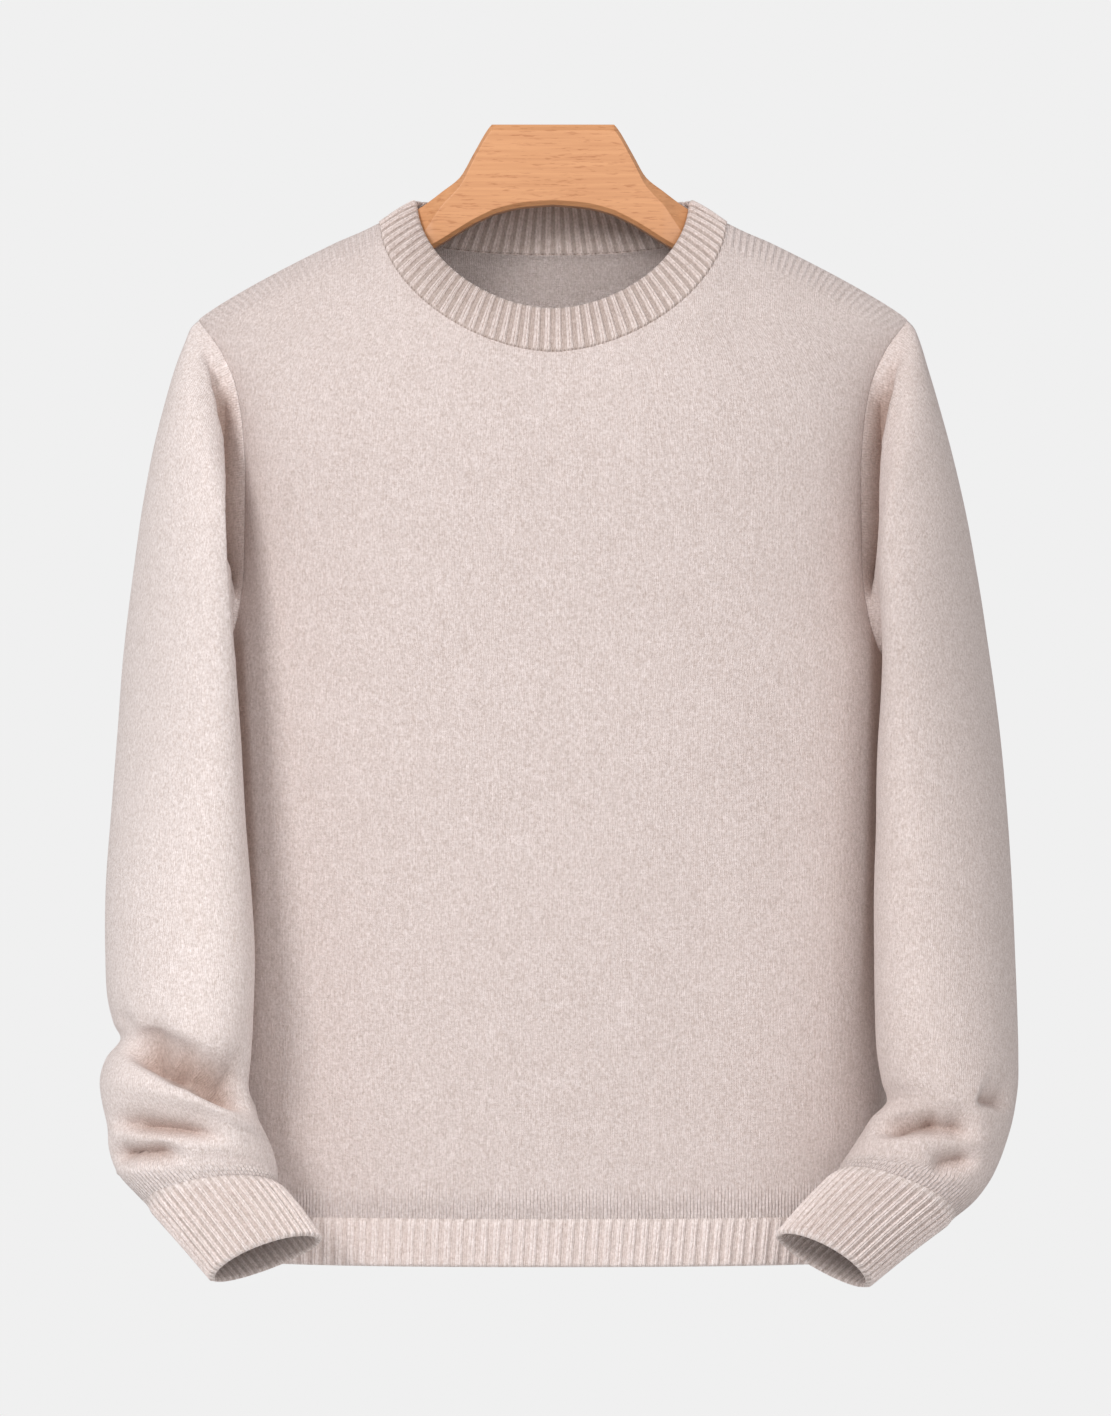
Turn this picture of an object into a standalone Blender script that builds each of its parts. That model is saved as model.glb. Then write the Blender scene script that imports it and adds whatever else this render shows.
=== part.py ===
"""A fine-knit crewneck sweater, filled out and hung on a contoured wooden hanger.

Metres, +X to the viewer's right, -Y towards the viewer, +Z up. The origin is the middle of the
hanger's top face. Each cut piece of the sweater is one wall of cloth with its own outer and inner
surface. Neighbouring pieces share the points of their seam, drawn apart by SEAM_GAP.
"""

import bmesh
import bpy
import numpy as np

MM = 0.001


def table(columns, *rows):
    """A short table as a dictionary: the name of each column to its values down the rows."""
    return dict(zip(columns.split(), np.array(rows, float).T))


# The tables measure heights from a level this far under the origin.
TABLE_LEVEL = 3.4 * MM

# ---------------------------------------------------------------- cloth and seams
WALL = 2.2 * MM
SEAM_GAP = 0.3 * MM
RIB_RISE = 1.2 * MM
RIB_PROFILE = ((0.0, 0.0), (0.30, 1.0), (0.70, 1.0))  # share of the pitch, share of the rise
MITRE_LIMIT = 0.5  # a seam in a groove is at most 1 / MITRE_LIMIT walls deep

# ---------------------------------------------------------------- body
ROUNDNESS = 2.3  # exponent of the body's level sections, 2 being an ellipse
HEM_SEAM = -691.7 * MM
HEM_BOTTOM = -722.1 * MM
UNDERARM = -345.0 * MM
SHOULDER_TIP = np.array((227.0, -121.5)) * MM
NECK_POINT = np.array((111.0, -58.6)) * MM
SHOULDER_CROWN = 3.8 * MM  # how far the shoulder line rises over a straight one
NECK_ARCH = -27.0 * MM  # where the shoulder lines would meet over the neck
SHOULDER_ROUND = (220.0 * MM, 100.0 * MM)  # height over which the chest rounds in, middle and tip
SHOULDER_CURVE = 0.75

# Level sections of the body, in mm: sizes from the middle plane, and the share of the half width
# at which the armhole is cut.
BODY = table(
    "height half_width front_depth back_depth armhole_share",
    (-722.0, 206.0, 79.0, 61.0, 1.000),
    (-692.0, 207.5, 80.0, 62.0, 1.000),
    (-640.0, 213.5, 83.0, 64.0, 1.000),
    (-600.0, 215.0, 85.0, 66.0, 1.000),
    (-480.0, 215.5, 87.5, 69.0, 1.000),
    (-380.0, 215.5, 88.0, 70.0, 1.000),
    (-345.0, 215.0, 88.0, 70.0, 1.000),
    (-330.0, 211.5, 88.0, 70.0, 0.978),
    (-310.0, 206.5, 88.0, 70.0, 0.972),
    (-280.0, 203.0, 88.0, 70.0, 0.970),
    (-220.0, 202.2, 88.0, 70.0, 0.970),
    (-190.0, 204.0, 88.0, 70.0, 0.970),
    (-165.0, 208.5, 88.0, 70.0, 0.970),
    (-143.0, 217.0, 88.0, 70.0, 0.974),
    (-121.5, 232.0, 88.0, 70.0, 0.97845),
)

# Long soft troughs down the body, in mm: where each lies across, its width, its depth and its ends.
DRAPES = table(
    "across half_width depth top bottom front",
    (96.0, 34.0, 3.0, -400.0, -660.0, 1),
    (-88.0, 38.0, 2.2, -430.0, -665.0, 1),
    (150.0, 26.0, 2.5, -330.0, -560.0, 1),
    (-60.0, 40.0, 3.0, -260.0, -620.0, 0),
    (85.0, 36.0, 2.6, -330.0, -650.0, 0),
)

SHOULDER_SHARES = (1.0, 0.955, 0.88, 0.75, 0.57, 0.38, 0.19, 0.0)  # seam points, tip to neck
SHOULDER_STEPS = len(SHOULDER_SHARES) - 1
SIDE_SEAM_STEPS = 4
ARMHOLE_STEPS = 12
FRONT_NECK_STEPS = 16
BACK_NECK_STEPS = 12

# ---------------------------------------------------------------- neckband
# One arch from neck point to neck point for each edge of the band: half width, top, drop, reach
# forward or back, all in mm, and the exponent of the arch.
BAND_ARCHES = table(
    "half_width top drop reach exponent",
    (111.0, -58.6, 86.0, 0.0, 1.78),  # front seam, whose reach is the body's surface
    (111.0, -58.6, 18.5, 0.0, 2.00),  # back seam
    (87.1, -44.9, 71.0, -59.0, 1.83),  # front rim
    (87.1, -44.9, -0.5, 29.0, 2.00),  # back rim
)
FRONT_SEAM, BACK_SEAM, FRONT_RIM, BACK_RIM = range(4)
BAND_RIBS_PER_STEP = 3
BAND_CROWN = 1.0 * MM

# ---------------------------------------------------------------- hem and cuffs
HEM_RIBS = 62
CUFF_RIBS = 38

# ---------------------------------------------------------------- sleeves
# A row for each ring from the armhole to the cuff, in mm. outer and inner are the ends that the
# ring reaches across and in height; outer_y and inner_y are where its two ends lie to the front.
# The ring reaches `front` and `back` from the middle between them. It is sheared towards the
# body at its front, pitched up at its front (degrees), drawn `inset` towards the body beside the
# armhole, and takes `own` of its own round form against the armhole's.
SLEEVE_COLUMNS = "outer_x outer_z inner_x inner_z outer_y inner_y front back shear pitch inset own"
LEFT_SLEEVE = table(
    SLEEVE_COLUMNS,
    (231.5, -126.0, 220.0, -343.6, -3.0, 0.0, 42.0, 36.0, 0.00, 0.0, 23.0, 0.35),
    (235.6, -136.0, 222.8, -345.4, -6.0, -2.0, 52.0, 42.0, 0.00, 0.0, 27.0, 0.70),
    (241.0, -150.0, 223.4, -349.5, -9.0, -6.0, 59.0, 47.0, 0.03, 0.0, 28.5, 0.90),
    (248.0, -172.0, 220.5, -354.0, -12.0, -13.0, 64.0, 50.0, 0.08, 0.0, 27.0, 1.0),
    (256.5, -202.0, 214.5, -359.5, -15.0, -23.0, 66.0, 52.0, 0.15, 0.0, 21.5, 1.0),
    (264.5, -239.0, 207.5, -366.0, -20.0, -33.0, 66.0, 53.0, 0.24, 0.0, 14.0, 1.0),
    (270.7, -283.0, 201.5, -376.0, -26.0, -43.0, 64.0, 54.0, 0.32, 0.0, 6.5, 1.0),
    (275.6, -331.0, 198.0, -391.0, -33.0, -48.0, 62.0, 54.0, 0.37, 0.0, 2.0, 1.0),
    (278.5, -380.0, 195.8, -414.0, -41.0, -52.0, 60.0, 54.0, 0.40, 0.0, 0.0, 1.0),
    (281.5, -430.0, 193.5, -446.0, -50.0, -56.0, 58.0, 54.0, 0.40, 0.0, 0.0, 1.0),
    (284.5, -482.0, 190.0, -486.0, -59.0, -60.0, 57.0, 54.0, 0.38, 0.0, 0.0, 1.0),
    (284.3, -526.0, 187.7, -528.0, -66.0, -66.0, 57.0, 54.0, 0.36, 1.0, 0.0, 1.0),
    (282.3, -553.0, 188.5, -562.0, -71.0, -71.0, 57.0, 54.0, 0.32, 2.0, 0.0, 1.0),
    (278.0, -568.0, 190.0, -589.0, -75.0, -75.0, 54.0, 53.0, 0.28, 3.0, 0.0, 1.0),
    (273.3, -578.0, 191.6, -612.0, -78.0, -78.0, 40.0, 51.0, 0.24, 4.0, 0.0, 1.0),
    (282.0, -590.0, 186.3, -628.0, -81.0, -81.0, 54.0, 53.0, 0.18, 6.0, 0.0, 1.0),
    (285.5, -604.0, 180.5, -639.5, -84.0, -84.0, 56.0, 52.0, 0.12, 8.0, 0.0, 1.0),
    (283.7, -618.0, 176.8, -647.5, -86.0, -86.0, 51.0, 49.0, 0.08, 10.5, 0.0, 1.0),
    (280.3, -632.5, 174.5, -654.5, -89.0, -89.0, 42.0, 46.0, 0.05, 13.0, 0.0, 1.0),
    (279.0, -647.5, 173.3, -660.0, -91.0, -91.0, 45.0, 42.0, 0.03, 16.0, 0.0, 1.0),
    (272.8, -662.5, 172.6, -664.3, -94.0, -94.0, 38.0, 39.0, 0.0, 18.5, 0.0, 1.0),
    (264.0, -672.0, 172.2, -667.0, -96.0, -96.0, 36.0, 36.0, 0.0, 20.5, 0.0, 1.0),
    (255.6, -680.5, 172.0, -669.0, -98.0, -98.0, 33.0, 33.0, 0.0, 22.0, 0.0, 1.0),
)
RIGHT_SLEEVE = table(
    SLEEVE_COLUMNS,
    (231.0, -126.0, 220.0, -343.6, -3.0, 0.0, 42.0, 36.0, 0.00, 0.0, 21.0, 0.35),
    (235.0, -136.0, 222.8, -345.4, -6.0, -2.0, 52.0, 42.0, 0.00, 0.0, 24.0, 0.70),
    (239.5, -151.0, 223.4, -349.5, -9.0, -6.0, 59.0, 47.0, 0.03, 0.0, 23.0, 0.90),
    (246.5, -173.0, 221.0, -354.0, -12.0, -13.0, 64.0, 50.0, 0.08, 0.0, 21.5, 1.0),
    (255.5, -203.0, 217.0, -359.5, -15.0, -23.0, 66.0, 52.0, 0.14, 0.0, 17.0, 1.0),
    (265.0, -241.0, 212.0, -366.0, -20.0, -33.0, 66.0, 53.0, 0.21, 0.0, 10.0, 1.0),
    (273.0, -285.0, 208.5, -376.0, -26.0, -43.0, 64.0, 54.0, 0.27, 0.0, 5.0, 1.0),
    (279.3, -332.0, 205.8, -391.0, -33.0, -48.0, 62.0, 54.0, 0.30, 0.0, 1.0, 1.0),
    (285.0, -380.0, 204.4, -414.0, -41.0, -52.0, 60.0, 54.0, 0.32, 0.0, 0.0, 1.0),
    (289.0, -430.0, 203.8, -446.0, -50.0, -56.0, 58.0, 54.0, 0.32, 0.0, 0.0, 1.0),
    (291.7, -482.0, 202.4, -486.0, -59.0, -60.0, 57.0, 54.0, 0.30, 0.0, 0.0, 1.0),
    (293.2, -528.0, 202.3, -528.0, -66.0, -66.0, 56.0, 54.0, 0.28, 1.0, 0.0, 1.0),
    (294.0, -562.0, 202.6, -560.0, -72.0, -72.0, 56.0, 54.0, 0.24, 2.0, 0.0, 1.0),
    (294.2, -590.0, 203.9, -588.0, -76.0, -76.0, 55.0, 54.0, 0.20, 3.0, 0.0, 1.0),
    (293.7, -607.0, 207.0, -606.0, -78.0, -78.0, 55.0, 53.0, 0.16, 5.0, 0.0, 1.0),
    (291.7, -620.0, 210.0, -618.0, -80.0, -80.0, 51.0, 51.0, 0.12, 7.0, 0.0, 1.0),
    (288.9, -632.0, 200.2, -628.5, -83.0, -83.0, 42.0, 48.0, 0.08, 10.0, 0.0, 1.0),
    (285.0, -644.0, 194.0, -638.0, -86.0, -86.0, 40.0, 46.0, 0.05, 13.0, 0.0, 1.0),
    (280.5, -655.5, 188.2, -646.5, -89.0, -89.0, 45.0, 44.0, 0.03, 16.0, 0.0, 1.0),
    (274.5, -667.0, 183.7, -652.7, -92.0, -92.0, 42.0, 41.0, 0.0, 18.5, 0.0, 1.0),
    (265.0, -679.0, 180.5, -657.0, -95.0, -95.0, 38.0, 37.0, 0.0, 20.5, 0.0, 1.0),
    (252.5, -689.3, 178.3, -660.5, -98.0, -98.0, 34.0, 33.0, 0.0, 22.0, 0.0, 1.0),
)
# The cuffs go on from the sleeve's last ring, in the same columns.
LEFT_CUFF = table(
    SLEEVE_COLUMNS,
    (255.6, -680.5, 172.0, -669.0, -98.0, -98.0, 33.0, 33.0, 0.0, 22.0, 0.0, 1.0),
    (232.5, -704.8, 158.4, -683.5, -112.0, -112.0, 31.0, 24.0, 0.0, 22.5, 0.0, 1.0),
    (211.8, -727.4, 144.6, -701.7, -125.0, -125.0, 31.0, 17.0, 0.0, 23.0, 0.0, 1.0),
)
RIGHT_CUFF = table(
    SLEEVE_COLUMNS,
    (252.5, -689.3, 178.3, -660.5, -98.0, -98.0, 34.0, 33.0, 0.0, 22.0, 0.0, 1.0),
    (223.6, -709.6, 159.0, -678.3, -112.0, -112.0, 31.0, 24.0, 0.0, 22.5, 0.0, 1.0),
    (195.5, -731.0, 139.4, -699.2, -125.0, -125.0, 30.0, 17.0, 0.0, 23.0, 0.0, 1.0),
)

# ---------------------------------------------------------------- hanger
# Sections of the hanger's right half, in mm. A section is flat over top_flat each side of the
# middle, then slopes down by top_drop to its full half thickness.
HANGER = table(
    "across top bottom half_thickness top_flat top_drop",
    (0.0, 3.4, -47.9, 12.0, 8.5, 4.0),
    (20.0, 3.4, -49.6, 12.0, 8.5, 4.0),
    (38.9, 3.4, -54.3, 12.0, 8.5, 4.0),
    (41.0, 1.2, -55.3, 12.0, 8.5, 4.0),
    (50.9, -15.5, -60.2, 12.0, 8.0, 4.5),
    (59.6, -30.4, -65.4, 12.0, 7.0, 6.0),
    (70.0, -38.6, -72.0, 12.0, 5.0, 9.0),
    (87.1, -50.6, -82.0, 10.0, 0.7, 19.0),
)
# Its arms lie under the shoulder line by `seat`: the cloth's wall and a fitting gap, straight down.
ARM_STATIONS = table(
    "across seat bottom half_thickness",
    (110.0, 3.8, -97.0, 10.0),
    (135.0, 3.5, -109.0, 10.0),
    (160.0, 3.5, -120.0, 10.0),
    (185.0, 4.0, -130.5, 8.5),
    (205.0, 4.8, -136.0, 6.0),
)
ARM_TOP_FLAT = 0.7 * MM
ARM_TOP_DROP = 16.0 * MM
HANGER_EDGE = 3.0 * MM

# ---------------------------------------------------------------- finishes
# Base colour in linear light, and roughness.
FINISHES = {
    "front": ((0.735, 0.620, 0.590), 0.95),
    "back": ((0.725, 0.612, 0.582), 0.95),
    "sleeve_left": ((0.750, 0.635, 0.603), 0.95),
    "sleeve_right": ((0.735, 0.622, 0.590), 0.95),
    "neckband": ((0.690, 0.575, 0.540), 0.92),
    "hem_rib_front": ((0.745, 0.630, 0.600), 0.92),
    "hem_rib_back": ((0.735, 0.622, 0.592), 0.92),
    "cuff_left": ((0.750, 0.640, 0.607), 0.92),
    "cuff_right": ((0.735, 0.622, 0.592), 0.92),
    "hanger": ((0.760, 0.380, 0.187), 0.42),
}


def unit(vectors):
    """Vectors scaled to length one."""
    return vectors / np.maximum(np.linalg.norm(vectors, axis=-1, keepdims=True), 1e-12)


def smooth_curve(knots, values, at):
    """A smooth curve through the knots that never overshoots them: cubic pieces whose slope at a
    knot is the harmonic mean of the slopes beside it, or zero at a turning point."""
    steps = np.diff(values) / np.diff(knots)
    product = steps[:-1] * steps[1:]
    total = steps[:-1] + steps[1:]
    middle = np.where(product > 0, 2 * product / np.where(product > 0, total, 1.0), 0.0)
    slopes = np.concatenate([steps[:1], middle, steps[-1:]])
    low = np.clip(np.searchsorted(knots, at, side="right") - 1, 0, len(knots) - 2)
    span = (knots[1:] - knots[:-1])[low]
    t = np.clip((at - knots[low]) / span, 0.0, 1.0)
    return (
        values[low] * (1 + 2 * t) * (1 - t) ** 2
        + values[low + 1] * t**2 * (3 - 2 * t)
        + slopes[low] * span * t * (1 - t) ** 2
        - slopes[low + 1] * span * t**2 * (1 - t)
    )


def body_size(column, height):
    """One column of the body's table at any height, in metres or as a share."""
    scale = 1.0 if column == "armhole_share" else MM
    return smooth_curve(BODY["height"] * MM, BODY[column] * scale, np.asarray(height, float))


def even_stations(points, shares):
    """Where along a finely sampled line each share of its length falls, as a fractional index."""
    lengths = np.concatenate([[0.0], np.cumsum(np.linalg.norm(np.diff(points, axis=0), axis=1))])
    return np.interp(np.asarray(shares) * lengths[-1], lengths, np.arange(len(points)))


def ridge_height(across):
    """Height of the shoulder line: a straight fall from the neck point to the tip, with a crown
    that is fullest near the tip, and an arch over the neck opening that only shapes the cloth
    around it."""
    reach = np.abs(across)
    share = (reach - NECK_POINT[0]) / (SHOULDER_TIP[0] - NECK_POINT[0])
    outer = NECK_POINT[1] + (SHOULDER_TIP[1] - NECK_POINT[1]) * share
    outer = outer + SHOULDER_CROWN * np.sqrt(np.sin(np.pi * np.clip(share, 0, 1) ** 1.5).clip(0))
    arch = NECK_ARCH + (NECK_POINT[1] - NECK_ARCH) * (reach / NECK_POINT[0]) ** 2
    return np.where(reach < NECK_POINT[0], arch, outer)


def drape(across, height, is_front):
    """Depth of the long troughs: a bell across each trough, faded in and out along its length."""
    total = np.zeros(np.broadcast(across, height).shape)
    for row in range(len(DRAPES["across"])):
        centre, width, depth, top, bottom = (
            DRAPES[name][row] * MM for name in ("across", "half_width", "depth", "top", "bottom")
        )
        if bool(DRAPES["front"][row]) != is_front:
            continue
        along = np.clip((top - height) / (top - bottom), 0, 1)
        total = total + depth * np.exp(-(((across - centre) / width) ** 2)) * np.sin(np.pi * along)
    return total


def panel_depth(across, height, is_front):
    """Distance of the cloth from the plane of the shoulder seams: a rounded level section, times
    a quarter wave that closes it over the shoulders, less the long troughs."""
    column = "front_depth" if is_front else "back_depth"
    share = np.clip(np.abs(across) / body_size("half_width", height), 0, 1)
    section = np.maximum(1 - share**ROUNDNESS, 0) ** (1 / ROUNDNESS)
    middle, tip = SHOULDER_ROUND
    rounding = middle + (tip - middle) * np.abs(across) / SHOULDER_TIP[0]
    below = np.clip((ridge_height(across) - height) / rounding, 0, 1)
    closing = np.sin(np.pi / 2 * below) ** SHOULDER_CURVE
    return section * closing * (body_size(column, height) - drape(across, height, is_front))


def on_panel(across, height, is_front):
    """Points of a panel's outer surface, half a seam's gap clear of the plane between panels."""
    depth = panel_depth(across, height, is_front) + SEAM_GAP / 2
    return np.stack([across, -depth if is_front else depth, height], axis=-1)


def side_edge(is_front):
    """Across and height down the right edge of a panel, from the hem to the shoulder tip."""
    seam_height = np.linspace(HEM_SEAM + SEAM_GAP / 2, UNDERARM, SIDE_SEAM_STEPS + 1)
    fine = np.linspace(UNDERARM, SHOULDER_TIP[1], 400)
    fine_across = body_size("half_width", fine) * body_size("armhole_share", fine)
    step = np.linspace(0, 1, ARMHOLE_STEPS + 1)
    shares = 0.5 * step + 0.25 * (1 - np.cos(np.pi * step))
    index = even_stations(on_panel(fine_across, fine, is_front), shares)
    height = np.interp(index, np.arange(len(fine)), fine)
    across = np.interp(index, np.arange(len(fine)), fine_across)
    return (
        np.concatenate([body_size("half_width", seam_height)[:-1], across]),
        np.concatenate([seam_height[:-1], height]),
    )


def band_arch(arch, angle):
    """Across, reach and height of one edge of the neckband, from the left neck point (angle 0) to
    the right one (angle pi): a rounded arch whose powers of cosine and sine come from its exponent."""
    size = {name: values[arch] for name, values in BAND_ARCHES.items()}
    power = 2 / size["exponent"]
    cosine, sine = np.cos(angle), np.abs(np.sin(angle))
    across = -size["half_width"] * np.sign(cosine) * np.abs(cosine) ** power
    return across * MM, size["reach"] * sine**1.1 * MM, (size["top"] - size["drop"] * sine**power) * MM


def neck_angles(is_front):
    """Angles that cut a panel's neckline into steps of one length."""
    fine = np.linspace(0, np.pi, 600)
    across, _, height = band_arch(FRONT_SEAM if is_front else BACK_SEAM, fine)
    steps = FRONT_NECK_STEPS if is_front else BACK_NECK_STEPS
    index = even_stations(on_panel(across, height, is_front), np.linspace(0, 1, steps + 1))
    return np.interp(index, np.arange(len(fine)), fine)


def panel_grid(is_front):
    """A panel's outer points, rows from hem to top and columns from left to right: the sheet
    between its four edges, each inner point being both pairs of edges blended, less the corners."""
    edge_across, edge_height = side_edge(is_front)
    across, _, height = band_arch(FRONT_SEAM if is_front else BACK_SEAM, neck_angles(is_front))
    shoulder = NECK_POINT[0] + (SHOULDER_TIP[0] - NECK_POINT[0]) * np.array(SHOULDER_SHARES)
    top_across = np.concatenate([-shoulder[:-1], across, shoulder[::-1][1:]])
    top_height = np.concatenate(
        [ridge_height(shoulder[:-1]), height, ridge_height(shoulder[::-1][1:])]
    )
    columns = len(top_across)
    u = np.linspace(0, 1, columns)
    v = np.linspace(0, 1, len(edge_across))[:, None]
    hem_share = 0.15 * (2 * u - 1) + 0.85 * np.sin(np.pi / 2 * (2 * u - 1))
    hem_across = edge_across[0] * hem_share
    hem_height = np.full(columns, edge_height[0])

    def blended(bottom, top, left, right):
        corners = (1 - v) * ((1 - u) * bottom[0] + u * bottom[-1]) + v * (
            (1 - u) * top[0] + u * top[-1]
        )
        return (1 - v) * bottom + v * top + (1 - u) * left[:, None] + u * right[:, None] - corners

    grid_across = blended(hem_across, top_across, -edge_across, edge_across)
    grid_height = blended(hem_height, top_height, edge_height, edge_height)
    return on_panel(grid_across, grid_height, is_front)


def grid_normals(points, closed):
    """Unit normals of a grid from its neighbours' differences; columns wrap round if closed."""
    along = np.gradient(points, axis=0)
    if closed:
        around = (np.roll(points, -1, axis=1) - np.roll(points, 1, axis=1)) / 2
    else:
        around = np.gradient(points, axis=1)
    return unit(np.cross(around, along))


def panel_face(is_front):
    """Outer points of a panel and its normals. Along a seam the normals face the seam's own way,
    so that the wall of the piece across the seam meets this one face to face."""
    outer = panel_grid(is_front)
    normals = grid_normals(outer, closed=False) * (1 if is_front else -1)
    normals[0] = unit(normals[0] * (1, 1, 0))
    for column, away in ((0, -1.0), (-1, 1.0)):
        normals[: SIDE_SEAM_STEPS + 1, column] = (away, 0, 0)
    columns = np.arange(outer.shape[1])
    shoulder = (columns <= SHOULDER_STEPS) | (columns >= outer.shape[1] - 1 - SHOULDER_STEPS)
    slope = np.gradient(outer[-1], axis=0)
    upright = unit(np.stack([-slope[:, 2], 0 * slope[:, 0], slope[:, 0]], axis=1))
    at_neck = (columns == SHOULDER_STEPS) | (columns == outer.shape[1] - 1 - SHOULDER_STEPS)
    ridge = NECK_POINT - SHOULDER_TIP
    neck_upright = unit(np.array((abs(ridge[1]), 0.0, abs(ridge[0]))))
    normals[-1, shoulder] = upright[shoulder]
    normals[-1, at_neck] = [neck_upright * (-1, 1, 1), neck_upright]
    return outer, normals


def armhole_loop(panels, side):
    """An armhole's edge from the shoulder tip down the front and up the back: its points and the
    body's normals there."""
    column = 0 if side < 0 else -1
    loops = []
    for part in range(2):
        down = panels[True][part][SIDE_SEAM_STEPS:, column][::-1].copy()
        up = panels[False][part][SIDE_SEAM_STEPS:, column].copy()
        down[0] = (down[0] + up[-1]) / 2
        down[-1] = (down[-1] + up[0]) / 2
        loops.append(np.concatenate([down, up[1:-1]]))
    return loops[0], unit(loops[1])


def mitre(normals, other_normals):
    """The shared inward step at a seam between two walls: along the middle of their normals, deep
    enough to be a wall's thickness inside each, down to MITRE_LIMIT."""
    middle = unit(normals + other_normals)
    facing = np.sum(normals * middle, axis=1, keepdims=True)
    return -WALL / np.clip(facing, MITRE_LIMIT, 1) * middle


def panel_inner(is_front, face, armhole_steps):
    """Inner points of a panel: one wall behind its face, at an armhole by the seam's own step."""
    outer, normals = face
    inner = outer - WALL * normals
    for side, column in ((-1, 0), (1, -1)):
        steps = armhole_steps[side]
        run = steps[: ARMHOLE_STEPS + 1][::-1]
        if not is_front:
            run = np.concatenate([steps[ARMHOLE_STEPS:], steps[:1]])
        inner[SIDE_SEAM_STEPS:, column] = outer[SIDE_SEAM_STEPS:, column] + run
    nearest = SEAM_GAP / 2
    inner[..., 1] = np.minimum(inner[..., 1], -nearest) if is_front else np.maximum(inner[..., 1], nearest)
    return inner


def set_apart(edge, inner_edge, tangents, normals, onward):
    """A seam's outer and inner points for the piece across the seam: one gap further on, square to
    the seam's line and to its normals, on the side that `onward` points to."""
    away = unit(np.cross(normals, tangents))
    away = away * np.where(np.sum(away * onward, axis=1, keepdims=True) < 0, -1, 1)
    return edge + SEAM_GAP * away, inner_edge + SEAM_GAP * away


def cloth_wall(name, outer, inner, closed):
    """A closed solid from a wall's outer and inner grids, rows by columns. The outer grid may have
    several columns to each inner one, as on ribs. The two grids join along the open edges."""
    rows, wide = outer.shape[:2]
    narrow = inner.shape[1]
    steps = narrow if closed else narrow - 1
    ratio = wide // narrow if closed else (wide - 1) // steps
    outer_at = np.arange(rows * wide).reshape(rows, wide)
    inner_at = rows * wide + np.arange(rows * narrow).reshape(rows, narrow)
    faces = []
    for row in range(rows - 1):
        for column in range(steps * ratio):
            after = (column + 1) % wide
            cell = [(row, column), (row, after), (row + 1, after), (row + 1, column)]
            faces += cell_faces(cell, outer_at, outer if ratio == 1 else None)
        for column in range(steps):
            after = (column + 1) % narrow
            cell = [(row, column), (row, after), (row + 1, after), (row + 1, column)]
            made = cell_faces(cell, inner_at, outer if ratio == 1 else None)
            faces += [face[::-1] for face in made]
    for row in (0, rows - 1):
        for step in range(steps):
            rim = [outer_at[row, (step * ratio + k) % wide] for k in range(ratio + 1)]
            rim += [inner_at[row, (step + 1) % narrow], inner_at[row, step]]
            faces += rim_faces(rim, outer if ratio == 1 else None)
    if not closed:
        for row in range(rows - 1):
            for side in (0, -1):
                rim = [outer_at[row, side], outer_at[row + 1, side]]
                rim += [inner_at[row + 1, side], inner_at[row, side]]
                faces += rim_faces(rim, outer)
    points = np.concatenate([outer.reshape(-1, 3), inner.reshape(-1, 3)])
    return solid(name, points, faces)


def cell_faces(cell, at, outer):
    """The faces of one cell of a grid. A plain wall's cells are cut along the shorter diagonal of
    its outer side, on both sides alike, which keeps the wall's thickness."""
    corners = [int(at[place]) for place in cell]
    if outer is None:
        return [corners]
    points = [outer[place] for place in cell]
    if np.linalg.norm(points[0] - points[2]) > np.linalg.norm(points[1] - points[3]):
        corners = corners[1:] + corners[:1]
    return [corners[:3], [corners[0], corners[2], corners[3]]]


def rim_faces(rim, outer):
    """The faces of one step of a rim. A plain step is cut from the higher of its two outer points,
    so that the pieces on both sides of a seam are cut alike."""
    if outer is None:
        return [rim]
    heights = outer.reshape(-1, 3)[:, 2]
    first, second, inner_second, inner_first = rim
    if heights[first] > heights[second]:
        return [(first, second, inner_second), (first, inner_second, inner_first)]
    return [(first, second, inner_first), (second, inner_second, inner_first)]


def solid(name, points, faces):
    """One object from points and faces, its faces turned outwards, with its own finish."""
    mesh = bpy.data.meshes.new(name)
    points = np.asarray(points) - (0, 0, TABLE_LEVEL)
    mesh.from_pydata(points.tolist(), [], [list(map(int, face)) for face in faces])
    shape = bmesh.new()
    shape.from_mesh(mesh)
    bmesh.ops.recalc_face_normals(shape, faces=shape.faces)
    shape.to_mesh(mesh)
    shape.free()
    mesh.shade_smooth()
    mesh.set_sharp_from_angle(angle=np.radians(48))
    mesh.materials.append(finish(name))
    made = bpy.data.objects.new(name, mesh)
    bpy.context.scene.collection.objects.link(made)
    return made


def finish(name):
    """The Principled material of one piece."""
    colour, roughness = FINISHES[name]
    material = bpy.data.materials.new(name)
    material.use_nodes = True
    shader = material.node_tree.nodes["Principled BSDF"]
    shader.inputs["Base Color"].default_value = (*colour, 1.0)
    shader.inputs["Roughness"].default_value = roughness
    shader.inputs["Metallic"].default_value = 0.0
    return material


def rib_offsets(ribs, closed):
    """Place along the piece, in ribs, and rise of each outer point of a run of ribs."""
    places = np.array([rib + share for rib in range(ribs) for share, _ in RIB_PROFILE])
    rises = np.tile([rise for _, rise in RIB_PROFILE], ribs) * RIB_RISE
    if not closed:
        places, rises = np.append(places, ribs), np.append(rises, 0.0)
    return places, rises


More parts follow.
